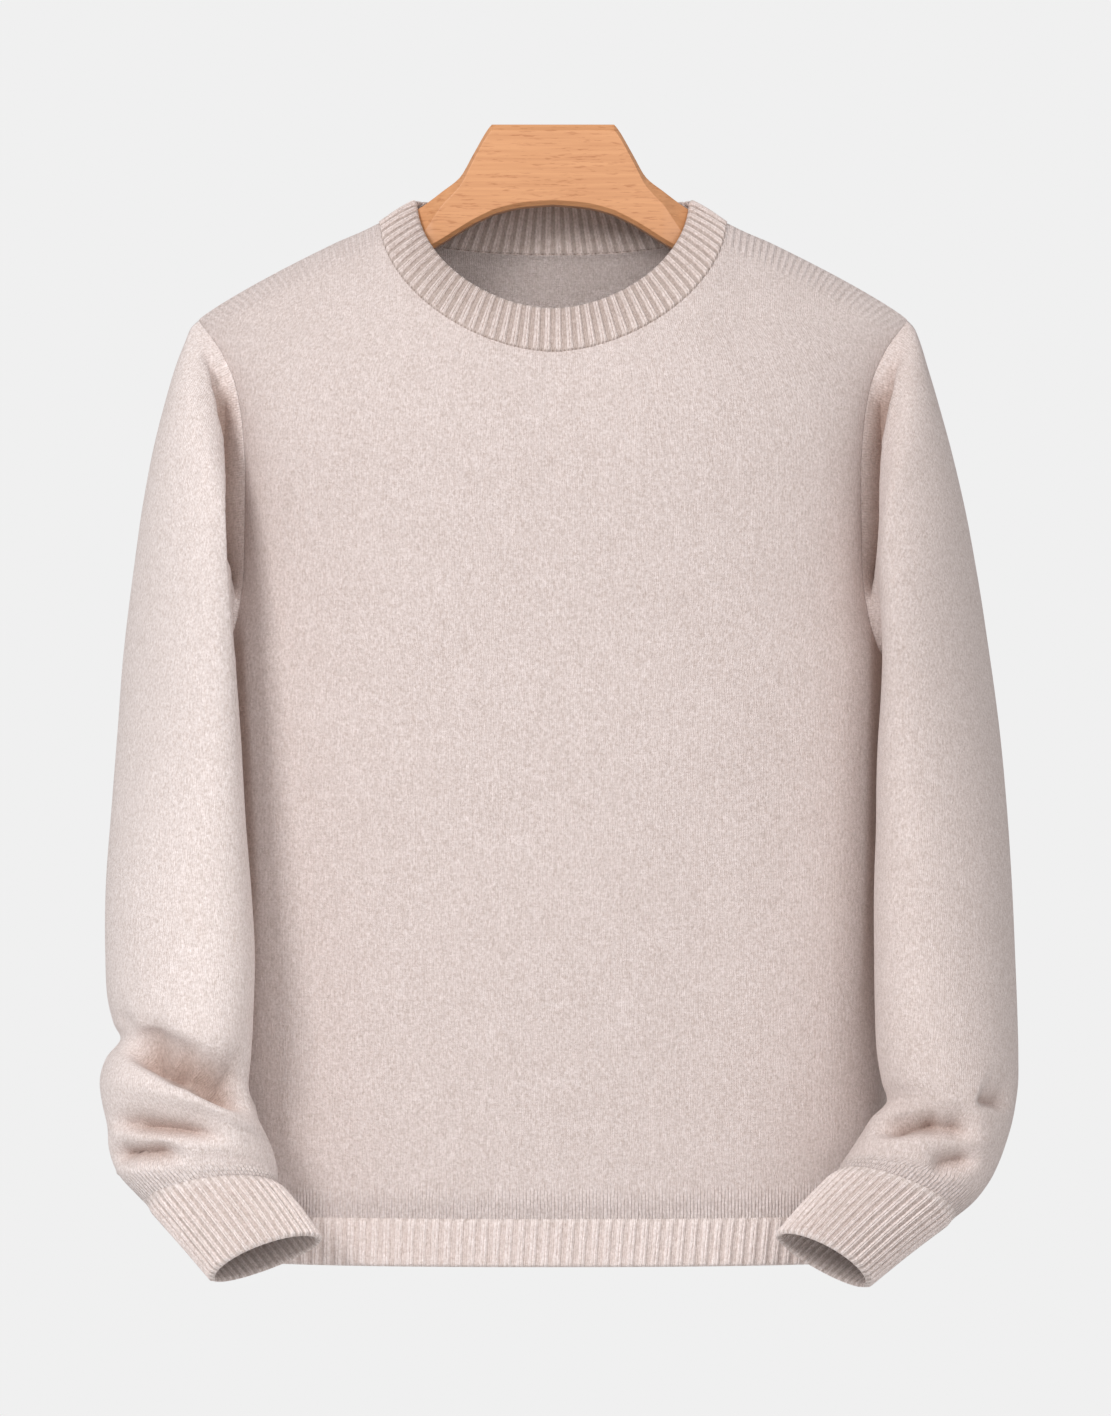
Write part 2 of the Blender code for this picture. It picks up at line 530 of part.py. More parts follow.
def neckband(panels):
    """The ribbed band: its first row lies on the panels' neckline points, one gap on, and its
    last row on the smooth arches of the rim. The same angle joins a seam point to its rim point."""
    runs = []
    for is_front, (outer, inner, normals) in panels.items():
        columns = np.arange(SHOULDER_STEPS, outer.shape[1] - SHOULDER_STEPS)
        angles = neck_angles(is_front)
        if not is_front:
            columns, angles = columns[::-1], angles[::-1]
        line = outer[-1, columns]
        seam, inner_seam = set_apart(
            line,
            inner[-1, columns],
            np.gradient(line, axis=0),
            normals[-1, columns],
            line - outer[-2, columns],
        )
        runs.append((seam, inner_seam, normals[-1, columns], angles, is_front))
    for here, there in ((0, 1), (1, 0)):  # both panels' neck points become one
        for part in range(2):
            middle = (runs[here][part][-1] + runs[there][part][0]) / 2
            runs[here][part][-1] = runs[there][part][0] = middle

    outer_rows, inner_rows = [[], [], []], [[], [], []]
    for seam, inner_seam, normals, angles, is_front in runs:
        steps = len(angles) - 1
        places, rises = rib_offsets(steps * BAND_RIBS_PER_STEP, closed=True)
        rib_starts = np.arange(steps * BAND_RIBS_PER_STEP)
        for at, rise, rows, base in (
            (places / BAND_RIBS_PER_STEP, rises, outer_rows, seam),
            (rib_starts / BAND_RIBS_PER_STEP, -WALL, inner_rows, inner_seam),
        ):
            index = np.arange(steps + 1)
            on_seam = np.stack([np.interp(at, index, base[:, k]) for k in range(3)], axis=1)
            facing = np.stack([np.interp(at, index, normals[:, k]) for k in range(3)], axis=1)
            angle = np.interp(at, index, angles)
            rim = np.stack(band_arch(FRONT_RIM if is_front else BACK_RIM, angle), axis=1)
            ahead = np.stack(
                band_arch(FRONT_RIM if is_front else BACK_RIM, np.clip(angle + 0.01, 0, np.pi)), axis=1
            )
            behind = np.stack(
                band_arch(FRONT_RIM if is_front else BACK_RIM, np.clip(angle - 0.01, 0, np.pi)), axis=1
            )
            outer_seam = np.stack([np.interp(at, index, seam[:, k]) for k in range(3)], axis=1)
            rim_facing = unit(np.cross(ahead - behind, rim - outer_seam)) * (1 if is_front else -1)
            middle_facing = unit(facing + rim_facing)
            rise = np.broadcast_to(rise, at.shape)[:, None]
            offset = np.maximum(rise, 0)
            middle = (outer_seam + rim) / 2 + BAND_CROWN * middle_facing
            rows[0].append(on_seam + offset * unit(facing))
            rows[1].append(middle + rise * middle_facing)
            rows[2].append(rim + rise * rim_facing)
    outer = np.stack([np.concatenate(row) for row in outer_rows])
    inner = np.stack([np.concatenate(row) for row in inner_rows])
    return cloth_wall("neckband", outer, inner, closed=True)


def hem_rib(name, is_front):
    """Half of the hem's ribbed band: the body's level section at each height, with ribs of one
    pitch raised on it."""
    turn = np.linspace(0, np.pi, 800)
    column = "front_depth" if is_front else "back_depth"
    power = 2 / ROUNDNESS
    heights = (HEM_SEAM - SEAM_GAP / 2, HEM_BOTTOM)
    outer_rows, inner_rows = [], []
    for height in heights:
        wide, deep = body_size("half_width", height), body_size(column, height)
        across = -wide * np.sign(np.cos(turn)) * np.abs(np.cos(turn)) ** power
        depth = deep * np.abs(np.sin(turn)) ** power
        slope_x = np.sign(across) * (np.abs(across) / wide) ** (ROUNDNESS - 1) / wide
        slope_y = (depth / deep) ** (ROUNDNESS - 1) / deep
        depth = depth + SEAM_GAP / 2
        if is_front:
            depth, slope_y = -depth, -slope_y
        line = np.stack([across, depth, np.full_like(across, height)], axis=1)
        facing = unit(np.stack([slope_x, slope_y, np.zeros_like(across)], axis=1))
        places, rises = rib_offsets(HEM_RIBS, closed=False)
        for at, rise, rows in (
            (places / HEM_RIBS, rises, outer_rows),
            (np.arange(HEM_RIBS + 1) / HEM_RIBS, np.full(HEM_RIBS + 1, -WALL), inner_rows),
        ):
            index = even_stations(line, at)
            base = np.stack([np.interp(index, np.arange(800), line[:, k]) for k in range(3)], axis=1)
            out = np.stack([np.interp(index, np.arange(800), facing[:, k]) for k in range(3)], axis=1)
            out[0], out[-1] = (-1, 0, 0), (1, 0, 0)
            rows.append(base + rise[:, None] * unit(out))
    return cloth_wall(name, np.stack(outer_rows), np.stack(inner_rows), closed=False)


def ring_frame(rows, ring, side):
    """Middle, half chord and forward direction of one ring of a sleeve. The half chord is
    narrowed so that the sheared ring still ends where its row says."""
    row = {name: values[ring] for name, values in rows.items()}
    outer_end = np.array((side * row["outer_x"], row["outer_y"], row["outer_z"])) * MM
    inner_end = np.array((side * row["inner_x"], row["inner_y"], row["inner_z"])) * MM
    chord = (outer_end - inner_end) / 2
    sheared = row["shear"] * (row["front"] + row["back"]) / 2 * MM
    chord[0] = side * np.sqrt(max(chord[0] ** 2 - sheared**2, (0.3 * chord[0]) ** 2))
    pitch = np.radians(row["pitch"])
    rise = unit(np.array((-side * chord[2], 0.0, side * chord[0])))
    forward = np.cos(pitch) * np.array((0.0, -1.0, 0.0)) + np.sin(pitch) * rise
    return (outer_end + inner_end) / 2, chord, forward


def ring_points(rows, ring, side, angle):
    """One ring of a sleeve: an ellipse sheared towards the body at its front, with its own reach
    to front and back. Angle 0 is its outer end, a quarter turn its front."""
    row = {name: values[ring] for name, values in rows.items()}
    middle, chord, forward = ring_frame(rows, ring, side)
    reach = (np.where(np.sin(angle) > 0, row["front"], row["back"]) * MM * np.sin(angle))[:, None]
    leaning = forward + row["shear"] * np.array((-side, 0.0, 0.0))
    return middle + np.cos(angle)[:, None] * chord + reach * leaning


def ring_axis(rows, ring, side):
    """The way down the arm, square to one ring."""
    _, chord, forward = ring_frame(rows, ring, side)
    axis = unit(np.cross(chord, forward))
    return axis * (-1 if axis[2] > 0 else 1)


def sleeve_rings(rows, side, start):
    """A sleeve's outer rings, and their normals. They turn from the upright armhole to the hanging
    arm, gathering the armhole's form into round sections, down to the flat ring at the cuff."""
    count = len(start)
    even = 2 * np.pi * np.arange(count) / count
    top, bottom = start[0], start[count // 2]
    up = unit((top - bottom) * (1, 0, 1))
    out = np.array((side * up[2], 0.0, -side * up[0]))
    centre = (top + bottom) / 2
    local = start - centre
    high, deep, aside = local @ up, local[:, 1], local @ out
    start_angle = np.arccos(np.clip(high / high.max(), -1, 1))
    start_angle[count // 2 + 1 :] = 2 * np.pi - start_angle[count // 2 + 1 :]
    rings = [start]
    for ring in range(len(rows["own"])):
        own = rows["own"][ring]
        settle = min(1.0, (ring + 1) / 8)
        angle = (1 - settle) * start_angle + settle * even
        middle, chord, _ = ring_frame(rows, ring, side)
        out_here = unit(np.array((side * chord[2], 0.0, -side * chord[0])))
        round_form = ring_points(rows, ring, side, angle)
        round_form = round_form - rows["inset"][ring] * MM * (np.sin(angle) ** 2)[:, None] * out_here
        kept = (
            middle * (1, 0, 1)
            + (high / high.max())[:, None] * chord
            + deep[:, None] * np.array((0.0, 1.0, 0.0))
            + aside[:, None] * out_here
        )
        rings.append((1 - own) * kept + own * round_form)
    outer = np.stack(rings)
    normals = grid_normals(outer, closed=True)
    facing = np.sum(normals[1:] * (outer[1:] - outer[1:].mean(axis=1, keepdims=True)), axis=2)
    return outer, normals * (-1 if facing.mean() < 0 else 1)


def sleeve(name, rows, side, rings, body_normals):
    """A sleeve's wall: its first ring one gap across the armhole's seam, its last ring flat."""
    outer, normals = rings[0].copy(), rings[1]
    step = mitre(body_normals, normals[0])
    tangents = np.roll(outer[0], -1, axis=0) - np.roll(outer[0], 1, axis=0)
    start, inner_start = set_apart(
        outer[0], outer[0] + step, tangents, -step, np.array((side, 0.0, 0.0))
    )
    outer[0] = start
    axis = ring_axis(rows, len(rows["own"]) - 1, side)
    normals[-1] = unit(normals[-1] - (normals[-1] @ axis)[:, None] * axis)
    inward = -WALL * normals
    inward[0] = inner_start - start
    return cloth_wall(name, outer, outer + inward, closed=True)


def cuff(name, rows, side):
    """A ribbed cuff: rings of one pitch of ribs. The first ring lies one gap past the sleeve's."""
    fine = np.linspace(0, 2 * np.pi, 721)
    index = np.arange(len(fine))
    places, rises = rib_offsets(CUFF_RIBS, closed=True)
    stations = even_stations(ring_points(rows, 1, side, fine), places / CUFF_RIBS)
    inner_stations = even_stations(ring_points(rows, 1, side, fine), np.arange(CUFF_RIBS) / CUFF_RIBS)
    outer_rows, inner_rows = [], []
    for ring in range(len(rows["own"])):
        across_ring = ring_axis(rows, ring, side)
        shift = SEAM_GAP * across_ring if ring == 0 else 0.0
        for at, rise, made in ((stations, rises, outer_rows), (inner_stations, -WALL, inner_rows)):
            angle = np.interp(at, index, fine)
            base = ring_points(rows, ring, side, angle)
            step = ring_points(rows, ring, side, angle + 0.01) - ring_points(
                rows, ring, side, angle - 0.01
            )
            facing = unit(np.cross(step, across_ring))
            if np.sum(facing * (base - base.mean(axis=0))) < 0:
                facing = -facing
            made.append(base + shift + np.broadcast_to(rise, at.shape)[:, None] * facing)
    return cloth_wall(name, np.stack(outer_rows), np.stack(inner_rows), closed=True)


def hanger():
    """The hanger: eight-sided sections from tip to tip, its arms just under the shoulders."""
    half = [
        {name: values[row] * MM for name, values in HANGER.items()}
        for row in range(len(HANGER["across"]))
    ]
    for row in range(len(ARM_STATIONS["across"])):
        across = ARM_STATIONS["across"][row] * MM
        half.append(
            {
                "across": across,
                "top": float(ridge_height(across)) - ARM_STATIONS["seat"][row] * MM,
                "bottom": ARM_STATIONS["bottom"][row] * MM,
                "half_thickness": ARM_STATIONS["half_thickness"][row] * MM,
                "top_flat": ARM_TOP_FLAT,
                "top_drop": ARM_TOP_DROP,
            }
        )
    sections = []
    for side, stations in ((-1, half[::-1]), (1, half[1:])):
        for at in stations:
            thick, flat = at["half_thickness"], at["top_flat"]
            right = [
                (flat, at["top"]),
                (thick, at["top"] - at["top_drop"]),
                (thick, at["bottom"] + HANGER_EDGE),
                (thick - HANGER_EDGE, at["bottom"]),
            ]
            loop = right + [(-y, z) for y, z in right[::-1]]
            sections.append([(side * at["across"], y, z) for y, z in loop])
    points = np.array(sections).reshape(-1, 3)
    corners = len(sections[0])
    faces = [tuple(range(corners)), tuple(range(len(points) - corners, len(points)))[::-1]]
    for section in range(len(sections) - 1):
        for corner in range(corners):
            after = (corner + 1) % corners
            here, there = section * corners, (section + 1) * corners
            faces.append((here + corner, here + after, there + after, there + corner))
    return solid("hanger", points, faces)


def clear_scene():
    for thing in list(bpy.data.objects):
        bpy.data.objects.remove(thing, do_unlink=True)


def build():
    clear_scene()
    faces = {True: panel_face(True), False: panel_face(False)}
    steps = {}
    for side, name, rows in ((-1, "sleeve_left", LEFT_SLEEVE), (1, "sleeve_right", RIGHT_SLEEVE)):
        edge, body_normals = armhole_loop(faces, side)
        rings = sleeve_rings(rows, side, edge)
        steps[side] = mitre(body_normals, rings[1][0])
        sleeve(name, rows, side, rings, body_normals)
    panels = {}
    for is_front, name in ((True, "front"), (False, "back")):
        outer, normals = faces[is_front]
        inner = panel_inner(is_front, faces[is_front], steps)
        cloth_wall(name, outer, inner, closed=False)
        panels[is_front] = (outer, inner, normals)
    neckband(panels)
    hem_rib("hem_rib_front", True)
    hem_rib("hem_rib_back", False)
    cuff("cuff_left", LEFT_CUFF, -1)
    cuff("cuff_right", RIGHT_CUFF, 1)
    hanger()


build()
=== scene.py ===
"""The looks of a fine-knit crewneck sweater on a contoured wooden hanger.

Metres, +X to the viewer's right, -Y towards the viewer, +Z up, the origin on the hanger's top face.
Each knitted piece is a wall of cloth on the frame's own form, on a finer grid, with its folds,
ribs and stitches. Its UV map counts stitches: one unit across a wale and one along a course.
The sizes come first, then the shapes, the materials, the stage, and the order of the build.
"""

import bpy
import numpy as np
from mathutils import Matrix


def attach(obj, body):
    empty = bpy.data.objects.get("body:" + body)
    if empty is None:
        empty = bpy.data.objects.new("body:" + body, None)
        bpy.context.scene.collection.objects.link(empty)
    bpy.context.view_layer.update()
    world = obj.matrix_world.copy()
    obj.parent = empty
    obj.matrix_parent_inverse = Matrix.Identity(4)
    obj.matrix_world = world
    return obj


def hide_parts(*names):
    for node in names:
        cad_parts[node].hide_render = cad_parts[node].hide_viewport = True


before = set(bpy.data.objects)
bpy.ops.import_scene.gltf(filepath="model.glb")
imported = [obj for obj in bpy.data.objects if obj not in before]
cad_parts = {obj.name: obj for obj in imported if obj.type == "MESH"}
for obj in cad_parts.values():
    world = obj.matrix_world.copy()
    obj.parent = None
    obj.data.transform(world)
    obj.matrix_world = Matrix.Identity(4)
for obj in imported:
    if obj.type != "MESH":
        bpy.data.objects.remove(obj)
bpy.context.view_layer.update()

MM = 0.001


def table(columns, *rows):
    """A short table as a dictionary: the name of each column to its values down the rows."""
    return dict(zip(columns.split(), np.array(rows, float).T))


# The tables measure heights from a level this far under the origin.
TABLE_LEVEL = 3.4 * MM

# ---------------------------------------------------------------- cloth
WALL = 2.0 * MM
WALE = 2.2 * MM  # one stitch across
COURSE = 1.65 * MM  # one stitch along
STITCH_DEPTH = 0.31 * MM
SEAM_DIP = 0.35 * MM  # how far the cloth sinks at a seam
SEAM_DIP_REACH = 2.2 * MM
FLAT_SEAM_SHARE = 0.3  # the share of it at every seam but the neckline's
SHARP_ANGLE = np.radians(60)  # edges sharper than this are not smoothed over
FINE_POINTS = 2400  # on a line that is measured before it is divided

# ---------------------------------------------------------------- body
ROUNDNESS = 2.3
HEM_SEAM = -691.7 * MM
HEM_BOTTOM = -722.1 * MM
UNDERARM = -345.0 * MM
SHOULDER_TIP = np.array((227.0, -121.5)) * MM
NECK_POINT = np.array((111.0, -58.6)) * MM
SHOULDER_CROWN = 3.8 * MM
NECK_ARCH = -27.0 * MM
SHOULDER_ROUND = (220.0 * MM, 100.0 * MM)
SHOULDER_CURVE = 0.75
CHEST = -430.0 * MM  # above it the wales stay upright
BODY = table(
    "height half_width front_depth back_depth armhole_share",
    (-722.0, 206.0, 79.0, 61.0, 1.000),
    (-692.0, 207.5, 80.0, 62.0, 1.000),
    (-640.0, 213.5, 83.0, 64.0, 1.000),
    (-600.0, 215.0, 85.0, 66.0, 1.000),
    (-480.0, 215.5, 87.5, 69.0, 1.000),
    (-380.0, 215.5, 88.0, 70.0, 1.000),
    (-345.0, 215.0, 88.0, 70.0, 1.000),
    (-330.0, 211.5, 88.0, 70.0, 0.978),
    (-310.0, 206.5, 88.0, 70.0, 0.972),
    (-280.0, 203.0, 88.0, 70.0, 0.970),
    (-220.0, 202.2, 88.0, 70.0, 0.970),
    (-190.0, 204.0, 88.0, 70.0, 0.970),
    (-165.0, 208.5, 88.0, 70.0, 0.970),
    (-143.0, 217.0, 88.0, 70.0, 0.974),
    (-121.5, 232.0, 88.0, 70.0, 0.97845),
)
DRAPES = table(
    "across half_width depth top bottom front",
    (96.0, 34.0, 3.0, -400.0, -660.0, 1),
    (-88.0, 38.0, 2.2, -430.0, -665.0, 1),
    (150.0, 26.0, 2.5, -330.0, -560.0, 1),
    (-152.0, 26.0, 5.0, -150.0, -440.0, 1),
    (-150.0, 28.0, 6.5, -390.0, -690.0, 1),
    (-60.0, 40.0, 3.0, -260.0, -620.0, 0),
    (85.0, 36.0, 2.6, -330.0, -650.0, 0),
)
SHOULDER_SHARES = (1.0, 0.955, 0.88, 0.75, 0.57, 0.38, 0.19, 0.0)
# Fine steps along a panel's edges.
SIDE_SEAM_STEPS = 100
ARMHOLE_STEPS = 84
SHOULDER_STEPS = 49
FRONT_NECK_STEPS = 150
BACK_NECK_STEPS = 110
# Reach of the wales that stand out beside the hem, the cuffs and the shoulder line.
HEM_WALES = (5.0 * MM, 26.0 * MM)
CUFF_WALES = (4.0 * MM, 20.0 * MM)
SHOULDER_WALES = (11.0 * MM, 21.0 * MM)

# ---------------------------------------------------------------- neckband, hem and cuffs
BAND_ARCHES = table(
    "half_width top drop reach exponent",
    (111.0, -58.6, 86.0, 0.0, 1.78),
    (111.0, -58.6, 18.5, 0.0, 2.00),
    (87.1, -44.9, 71.0, -59.0, 1.83),
    (87.1, -44.9, -0.5, 29.0, 2.00),
)
FRONT_SEAM, BACK_SEAM, FRONT_RIM, BACK_RIM = range(4)
FRONT_NECK_RIBS = 48
BACK_NECK_RIBS = 36
BAND_WIDTH = 28.0 * MM
BAND_CROWN = 1.0 * MM
BAND_ROWS = 20
BAND_RIM_CLOSE = 2.4 * MM  # how far from the rim the ribs close over, and from the seam
BAND_SEAM_CLOSE = 1.6 * MM
HEM_RIBS = 62
HEM_ROWS = 26
CUFF_RIBS = 38
CUFF_ROWS = 34
RIB_RISE = 1.7 * MM
STEPS_PER_RIB = 12
WALES_PER_RIB = 3
RIB_CLOSE = 2.2 * MM  # how far from the hem's and a cuff's open edge the ribs close over
HEM_RIB_START = 3.5 * MM  # how far from the seam they have risen
CUFF_RIB_START = 8.0 * MM

# ---------------------------------------------------------------- sleeves
SLEEVE_COLUMNS = "outer_x outer_z inner_x inner_z outer_y inner_y front back shear pitch inset own"
LEFT_SLEEVE = table(
    SLEEVE_COLUMNS,
    (231.5, -126.0, 220.0, -343.6, -3.0, 0.0, 42.0, 36.0, 0.00, 0.0, 23.0, 0.35),
    (235.6, -136.0, 222.8, -345.4, -6.0, -2.0, 52.0, 42.0, 0.00, 0.0, 27.0, 0.70),
    (241.0, -150.0, 223.4, -349.5, -9.0, -6.0, 59.0, 47.0, 0.03, 0.0, 28.5, 0.90),
    (248.0, -172.0, 220.5, -354.0, -12.0, -13.0, 64.0, 50.0, 0.08, 0.0, 27.0, 1.0),
    (256.5, -202.0, 214.5, -359.5, -15.0, -23.0, 66.0, 52.0, 0.15, 0.0, 21.5, 1.0),
    (264.5, -239.0, 207.5, -366.0, -20.0, -33.0, 66.0, 53.0, 0.24, 0.0, 14.0, 1.0),
    (270.7, -283.0, 201.5, -376.0, -26.0, -43.0, 64.0, 54.0, 0.32, 0.0, 6.5, 1.0),
    (275.6, -331.0, 198.0, -391.0, -33.0, -48.0, 62.0, 54.0, 0.37, 0.0, 2.0, 1.0),
    (278.5, -380.0, 195.8, -414.0, -41.0, -52.0, 60.0, 54.0, 0.40, 0.0, 0.0, 1.0),
    (281.5, -430.0, 193.5, -446.0, -50.0, -56.0, 58.0, 54.0, 0.40, 0.0, 0.0, 1.0),
    (284.5, -482.0, 190.0, -486.0, -59.0, -60.0, 57.0, 54.0, 0.38, 0.0, 0.0, 1.0),
    (284.3, -526.0, 187.7, -528.0, -66.0, -66.0, 57.0, 54.0, 0.36, 1.0, 0.0, 1.0),
    (282.3, -553.0, 188.5, -562.0, -71.0, -71.0, 57.0, 54.0, 0.32, 2.0, 0.0, 1.0),
    (278.0, -568.0, 190.0, -589.0, -75.0, -75.0, 57.0, 53.0, 0.28, 3.0, 0.0, 1.0),
    (273.3, -578.0, 191.6, -612.0, -78.0, -78.0, 54.0, 51.0, 0.24, 4.0, 0.0, 1.0),
    (282.0, -590.0, 186.3, -628.0, -81.0, -81.0, 54.0, 53.0, 0.18, 6.0, 0.0, 1.0),
    (285.5, -604.0, 180.5, -639.5, -84.0, -84.0, 56.0, 52.0, 0.12, 8.0, 0.0, 1.0),
    (283.7, -618.0, 176.8, -647.5, -86.0, -86.0, 51.0, 49.0, 0.08, 10.5, 0.0, 1.0),
    (280.3, -632.5, 174.5, -654.5, -89.0, -89.0, 47.5, 46.0, 0.05, 13.0, 0.0, 1.0),
    (279.0, -647.5, 173.3, -660.0, -91.0, -91.0, 45.0, 42.0, 0.03, 16.0, 0.0, 1.0),
    (272.8, -662.5, 172.6, -664.3, -94.0, -94.0, 38.0, 39.0, 0.0, 18.5, 0.0, 1.0),
    (264.0, -672.0, 172.2, -667.0, -96.0, -96.0, 36.0, 36.0, 0.0, 20.5, 0.0, 1.0),
    (255.6, -680.5, 172.0, -669.0, -98.0, -98.0, 33.0, 33.0, 0.0, 22.0, 0.0, 1.0),
)
RIGHT_SLEEVE = table(
    SLEEVE_COLUMNS,
    (231.0, -126.0, 220.0, -343.6, -3.0, 0.0, 42.0, 36.0, 0.00, 0.0, 21.0, 0.35),
    (235.0, -136.0, 222.8, -345.4, -6.0, -2.0, 52.0, 42.0, 0.00, 0.0, 24.0, 0.70),
    (239.5, -151.0, 223.4, -349.5, -9.0, -6.0, 59.0, 47.0, 0.03, 0.0, 23.0, 0.90),
    (246.5, -173.0, 221.0, -354.0, -12.0, -13.0, 64.0, 50.0, 0.08, 0.0, 21.5, 1.0),
    (255.5, -203.0, 217.0, -359.5, -15.0, -23.0, 66.0, 52.0, 0.14, 0.0, 17.0, 1.0),
    (265.0, -241.0, 212.0, -366.0, -20.0, -33.0, 66.0, 53.0, 0.21, 0.0, 10.0, 1.0),
    (273.0, -285.0, 208.5, -376.0, -26.0, -43.0, 64.0, 54.0, 0.27, 0.0, 5.0, 1.0),
    (279.3, -332.0, 205.8, -391.0, -33.0, -48.0, 62.0, 54.0, 0.30, 0.0, 1.0, 1.0),
    (285.0, -380.0, 204.4, -414.0, -41.0, -52.0, 60.0, 54.0, 0.32, 0.0, 0.0, 1.0),
    (289.0, -430.0, 203.8, -446.0, -50.0, -56.0, 58.0, 54.0, 0.32, 0.0, 0.0, 1.0),
    (291.7, -482.0, 202.4, -486.0, -59.0, -60.0, 57.0, 54.0, 0.30, 0.0, 0.0, 1.0),
    (293.2, -528.0, 202.3, -528.0, -66.0, -66.0, 56.0, 54.0, 0.28, 1.0, 0.0, 1.0),
    (294.0, -562.0, 202.6, -560.0, -72.0, -72.0, 56.0, 54.0, 0.24, 2.0, 0.0, 1.0),
    (294.2, -590.0, 203.9, -588.0, -76.0, -76.0, 55.0, 54.0, 0.20, 3.0, 0.0, 1.0),
    (293.7, -607.0, 207.0, -606.0, -78.0, -78.0, 55.0, 53.0, 0.16, 5.0, 0.0, 1.0),
    (291.7, -620.0, 210.0, -618.0, -80.0, -80.0, 53.5, 51.0, 0.12, 7.0, 0.0, 1.0),
    (288.9, -632.0, 200.2, -628.5, -83.0, -83.0, 51.0, 48.0, 0.08, 10.0, 0.0, 1.0),
    (285.0, -644.0, 194.0, -638.0, -86.0, -86.0, 48.0, 46.0, 0.05, 13.0, 0.0, 1.0),
    (280.5, -655.5, 188.2, -646.5, -89.0, -89.0, 45.0, 44.0, 0.03, 16.0, 0.0, 1.0),
    (274.5, -667.0, 183.7, -652.7, -92.0, -92.0, 42.0, 41.0, 0.0, 18.5, 0.0, 1.0),
    (265.0, -679.0, 180.5, -657.0, -95.0, -95.0, 38.0, 37.0, 0.0, 20.5, 0.0, 1.0),
    (252.5, -689.3, 178.3, -660.5, -98.0, -98.0, 34.0, 33.0, 0.0, 22.0, 0.0, 1.0),
)
LEFT_CUFF = table(
    SLEEVE_COLUMNS,
    (255.6, -680.5, 172.0, -669.0, -98.0, -98.0, 33.0, 33.0, 0.0, 22.0, 0.0, 1.0),
    (232.5, -704.8, 158.4, -683.5, -112.0, -112.0, 31.0, 24.0, 0.0, 22.5, 0.0, 1.0),
    (211.8, -727.4, 144.6, -701.7, -125.0, -125.0, 31.0, 17.0, 0.0, 23.0, 0.0, 1.0),
)
RIGHT_CUFF = table(
    SLEEVE_COLUMNS,
    (252.5, -689.3, 178.3, -660.5, -98.0, -98.0, 34.0, 33.0, 0.0, 22.0, 0.0, 1.0),
    (223.6, -709.6, 159.0, -678.3, -112.0, -112.0, 31.0, 24.0, 0.0, 22.5, 0.0, 1.0),
    (195.5, -731.0, 139.4, -699.2, -125.0, -125.0, 30.0, 17.0, 0.0, 23.0, 0.0, 1.0),
)
RING_ROWS = 190  # fine rings down a sleeve
RING_CROWDING = 0.2  # how much closer together they are at the wrist
SETTLING_RINGS = 8  # over these the points of the armhole come to even angles
SLEEVE_GIRTHS = (330.0, 190.0)  # that the wales are counted on, top and bottom
# Folds on a sleeve's front, each a line with its own reach above and below: a trough, or a ridge
# if the depth is below 0. A cusped one falls ever more steeply from above to its line.
CREASES = table(
    "side start_x start_z end_x end_z above below depth cusped",
    (-1, -266.0, -582.5, -230.0, -599.5, 15.0, 4.5, 22.0, 1),
    (-1, -236.0, -595.5, -184.0, -619.5, 17.0, 4.5, 22.0, 1),
    (-1, -250.0, -562.0, -200.0, -586.0, 12.0, 10.0, -3.0, 0),
    (-1, -278.0, -629.0, -208.0, -636.5, 10.0, 4.0, 14.0, 1),
    (-1, -286.0, -653.0, -234.0, -650.0, 10.0, 4.0, 14.0, 1),
    (-1, -276.0, -562.0, -264.0, -572.0, 6.0, 5.0, 3.0, 0),
    (1, 202.0, -633.0, 238.0, -631.0, 11.0, 4.5, 14.0, 1),
    (1, 230.0, -631.5, 262.0, -634.0, 11.0, 4.5, 11.0, 1),
    (1, 267.0, -613.5, 286.0, -619.0, 9.0, 4.0, 9.0, 1),
    (1, 236.0, -658.0, 264.0, -652.5, 10.0, 4.5, 11.0, 1),
    (1, 256.0, -637.0, 276.0, -643.0, 6.0, 6.0, -2.0, 0),
)
# The valley between each sleeve and the body, down from the shoulder: its line, reach and depth.
VALLEY = table(
    "height across reach depth",
    (-140.0, 222.0, 4.0, 0.0),
    (-155.0, 213.5, 4.5, 6.0),
    (-176.0, 206.0, 6.5, 12.0),
    (-200.0, 199.5, 7.5, 17.0),
    (-225.0, 197.0, 8.0, 19.0),
    (-250.0, 196.5, 8.0, 20.0),
    (-275.0, 196.0, 7.5, 18.0),
    (-298.0, 195.5, 6.5, 12.0),
    (-320.0, 195.0, 5.5, 5.0),
    (-338.0, 195.0, 5.0, 0.0),
)
# The painted shadow down the body's front where each sleeve lies against it, by its inner end.
ARM_LINE = table(
    "height left right shade",
    (-300.0, 199.0, 203.0, 0.0),
    (-330.0, 197.0, 203.0, 0.95),
    (-397.0, 193.0, 202.0, 0.95),
    (-484.0, 188.5, 199.5, 0.85),
    (-545.0, 188.5, 196.0, 0.5),
    (-600.0, 188.5, 196.0, 0.0),
)
ARM_LINE_EDGE = (-4.0 * MM, 2.5 * MM)  # from its inner end, where the painted shadow starts and is full
VALLEY_SHADE_COLOUR = (0.62, 0.52, 0.47)  # painted shade deep in the valley, in the folds and on the body beside the sleeves
VALLEY_START = 2.5 * MM  # how far down the sleeve the valley begins
VALLEY_DARK = 15.0 * MM  # the valley depth at which the painted shade is full
# the fold depth at which the painted shade is full
CREASE_DARK = 18.0 * MM
CREASE_SHADE = 0.95  # the share of that painted shade in the deepest folds
CREASE_FADE = 20.0 * MM  # how far above the cuff the folds die out
BACK_CREASE_SHARE = -0.5  # the folds on a sleeve's back, of the front's depth and with it turned
BACK_CREASE_DROP = 9.0 * MM

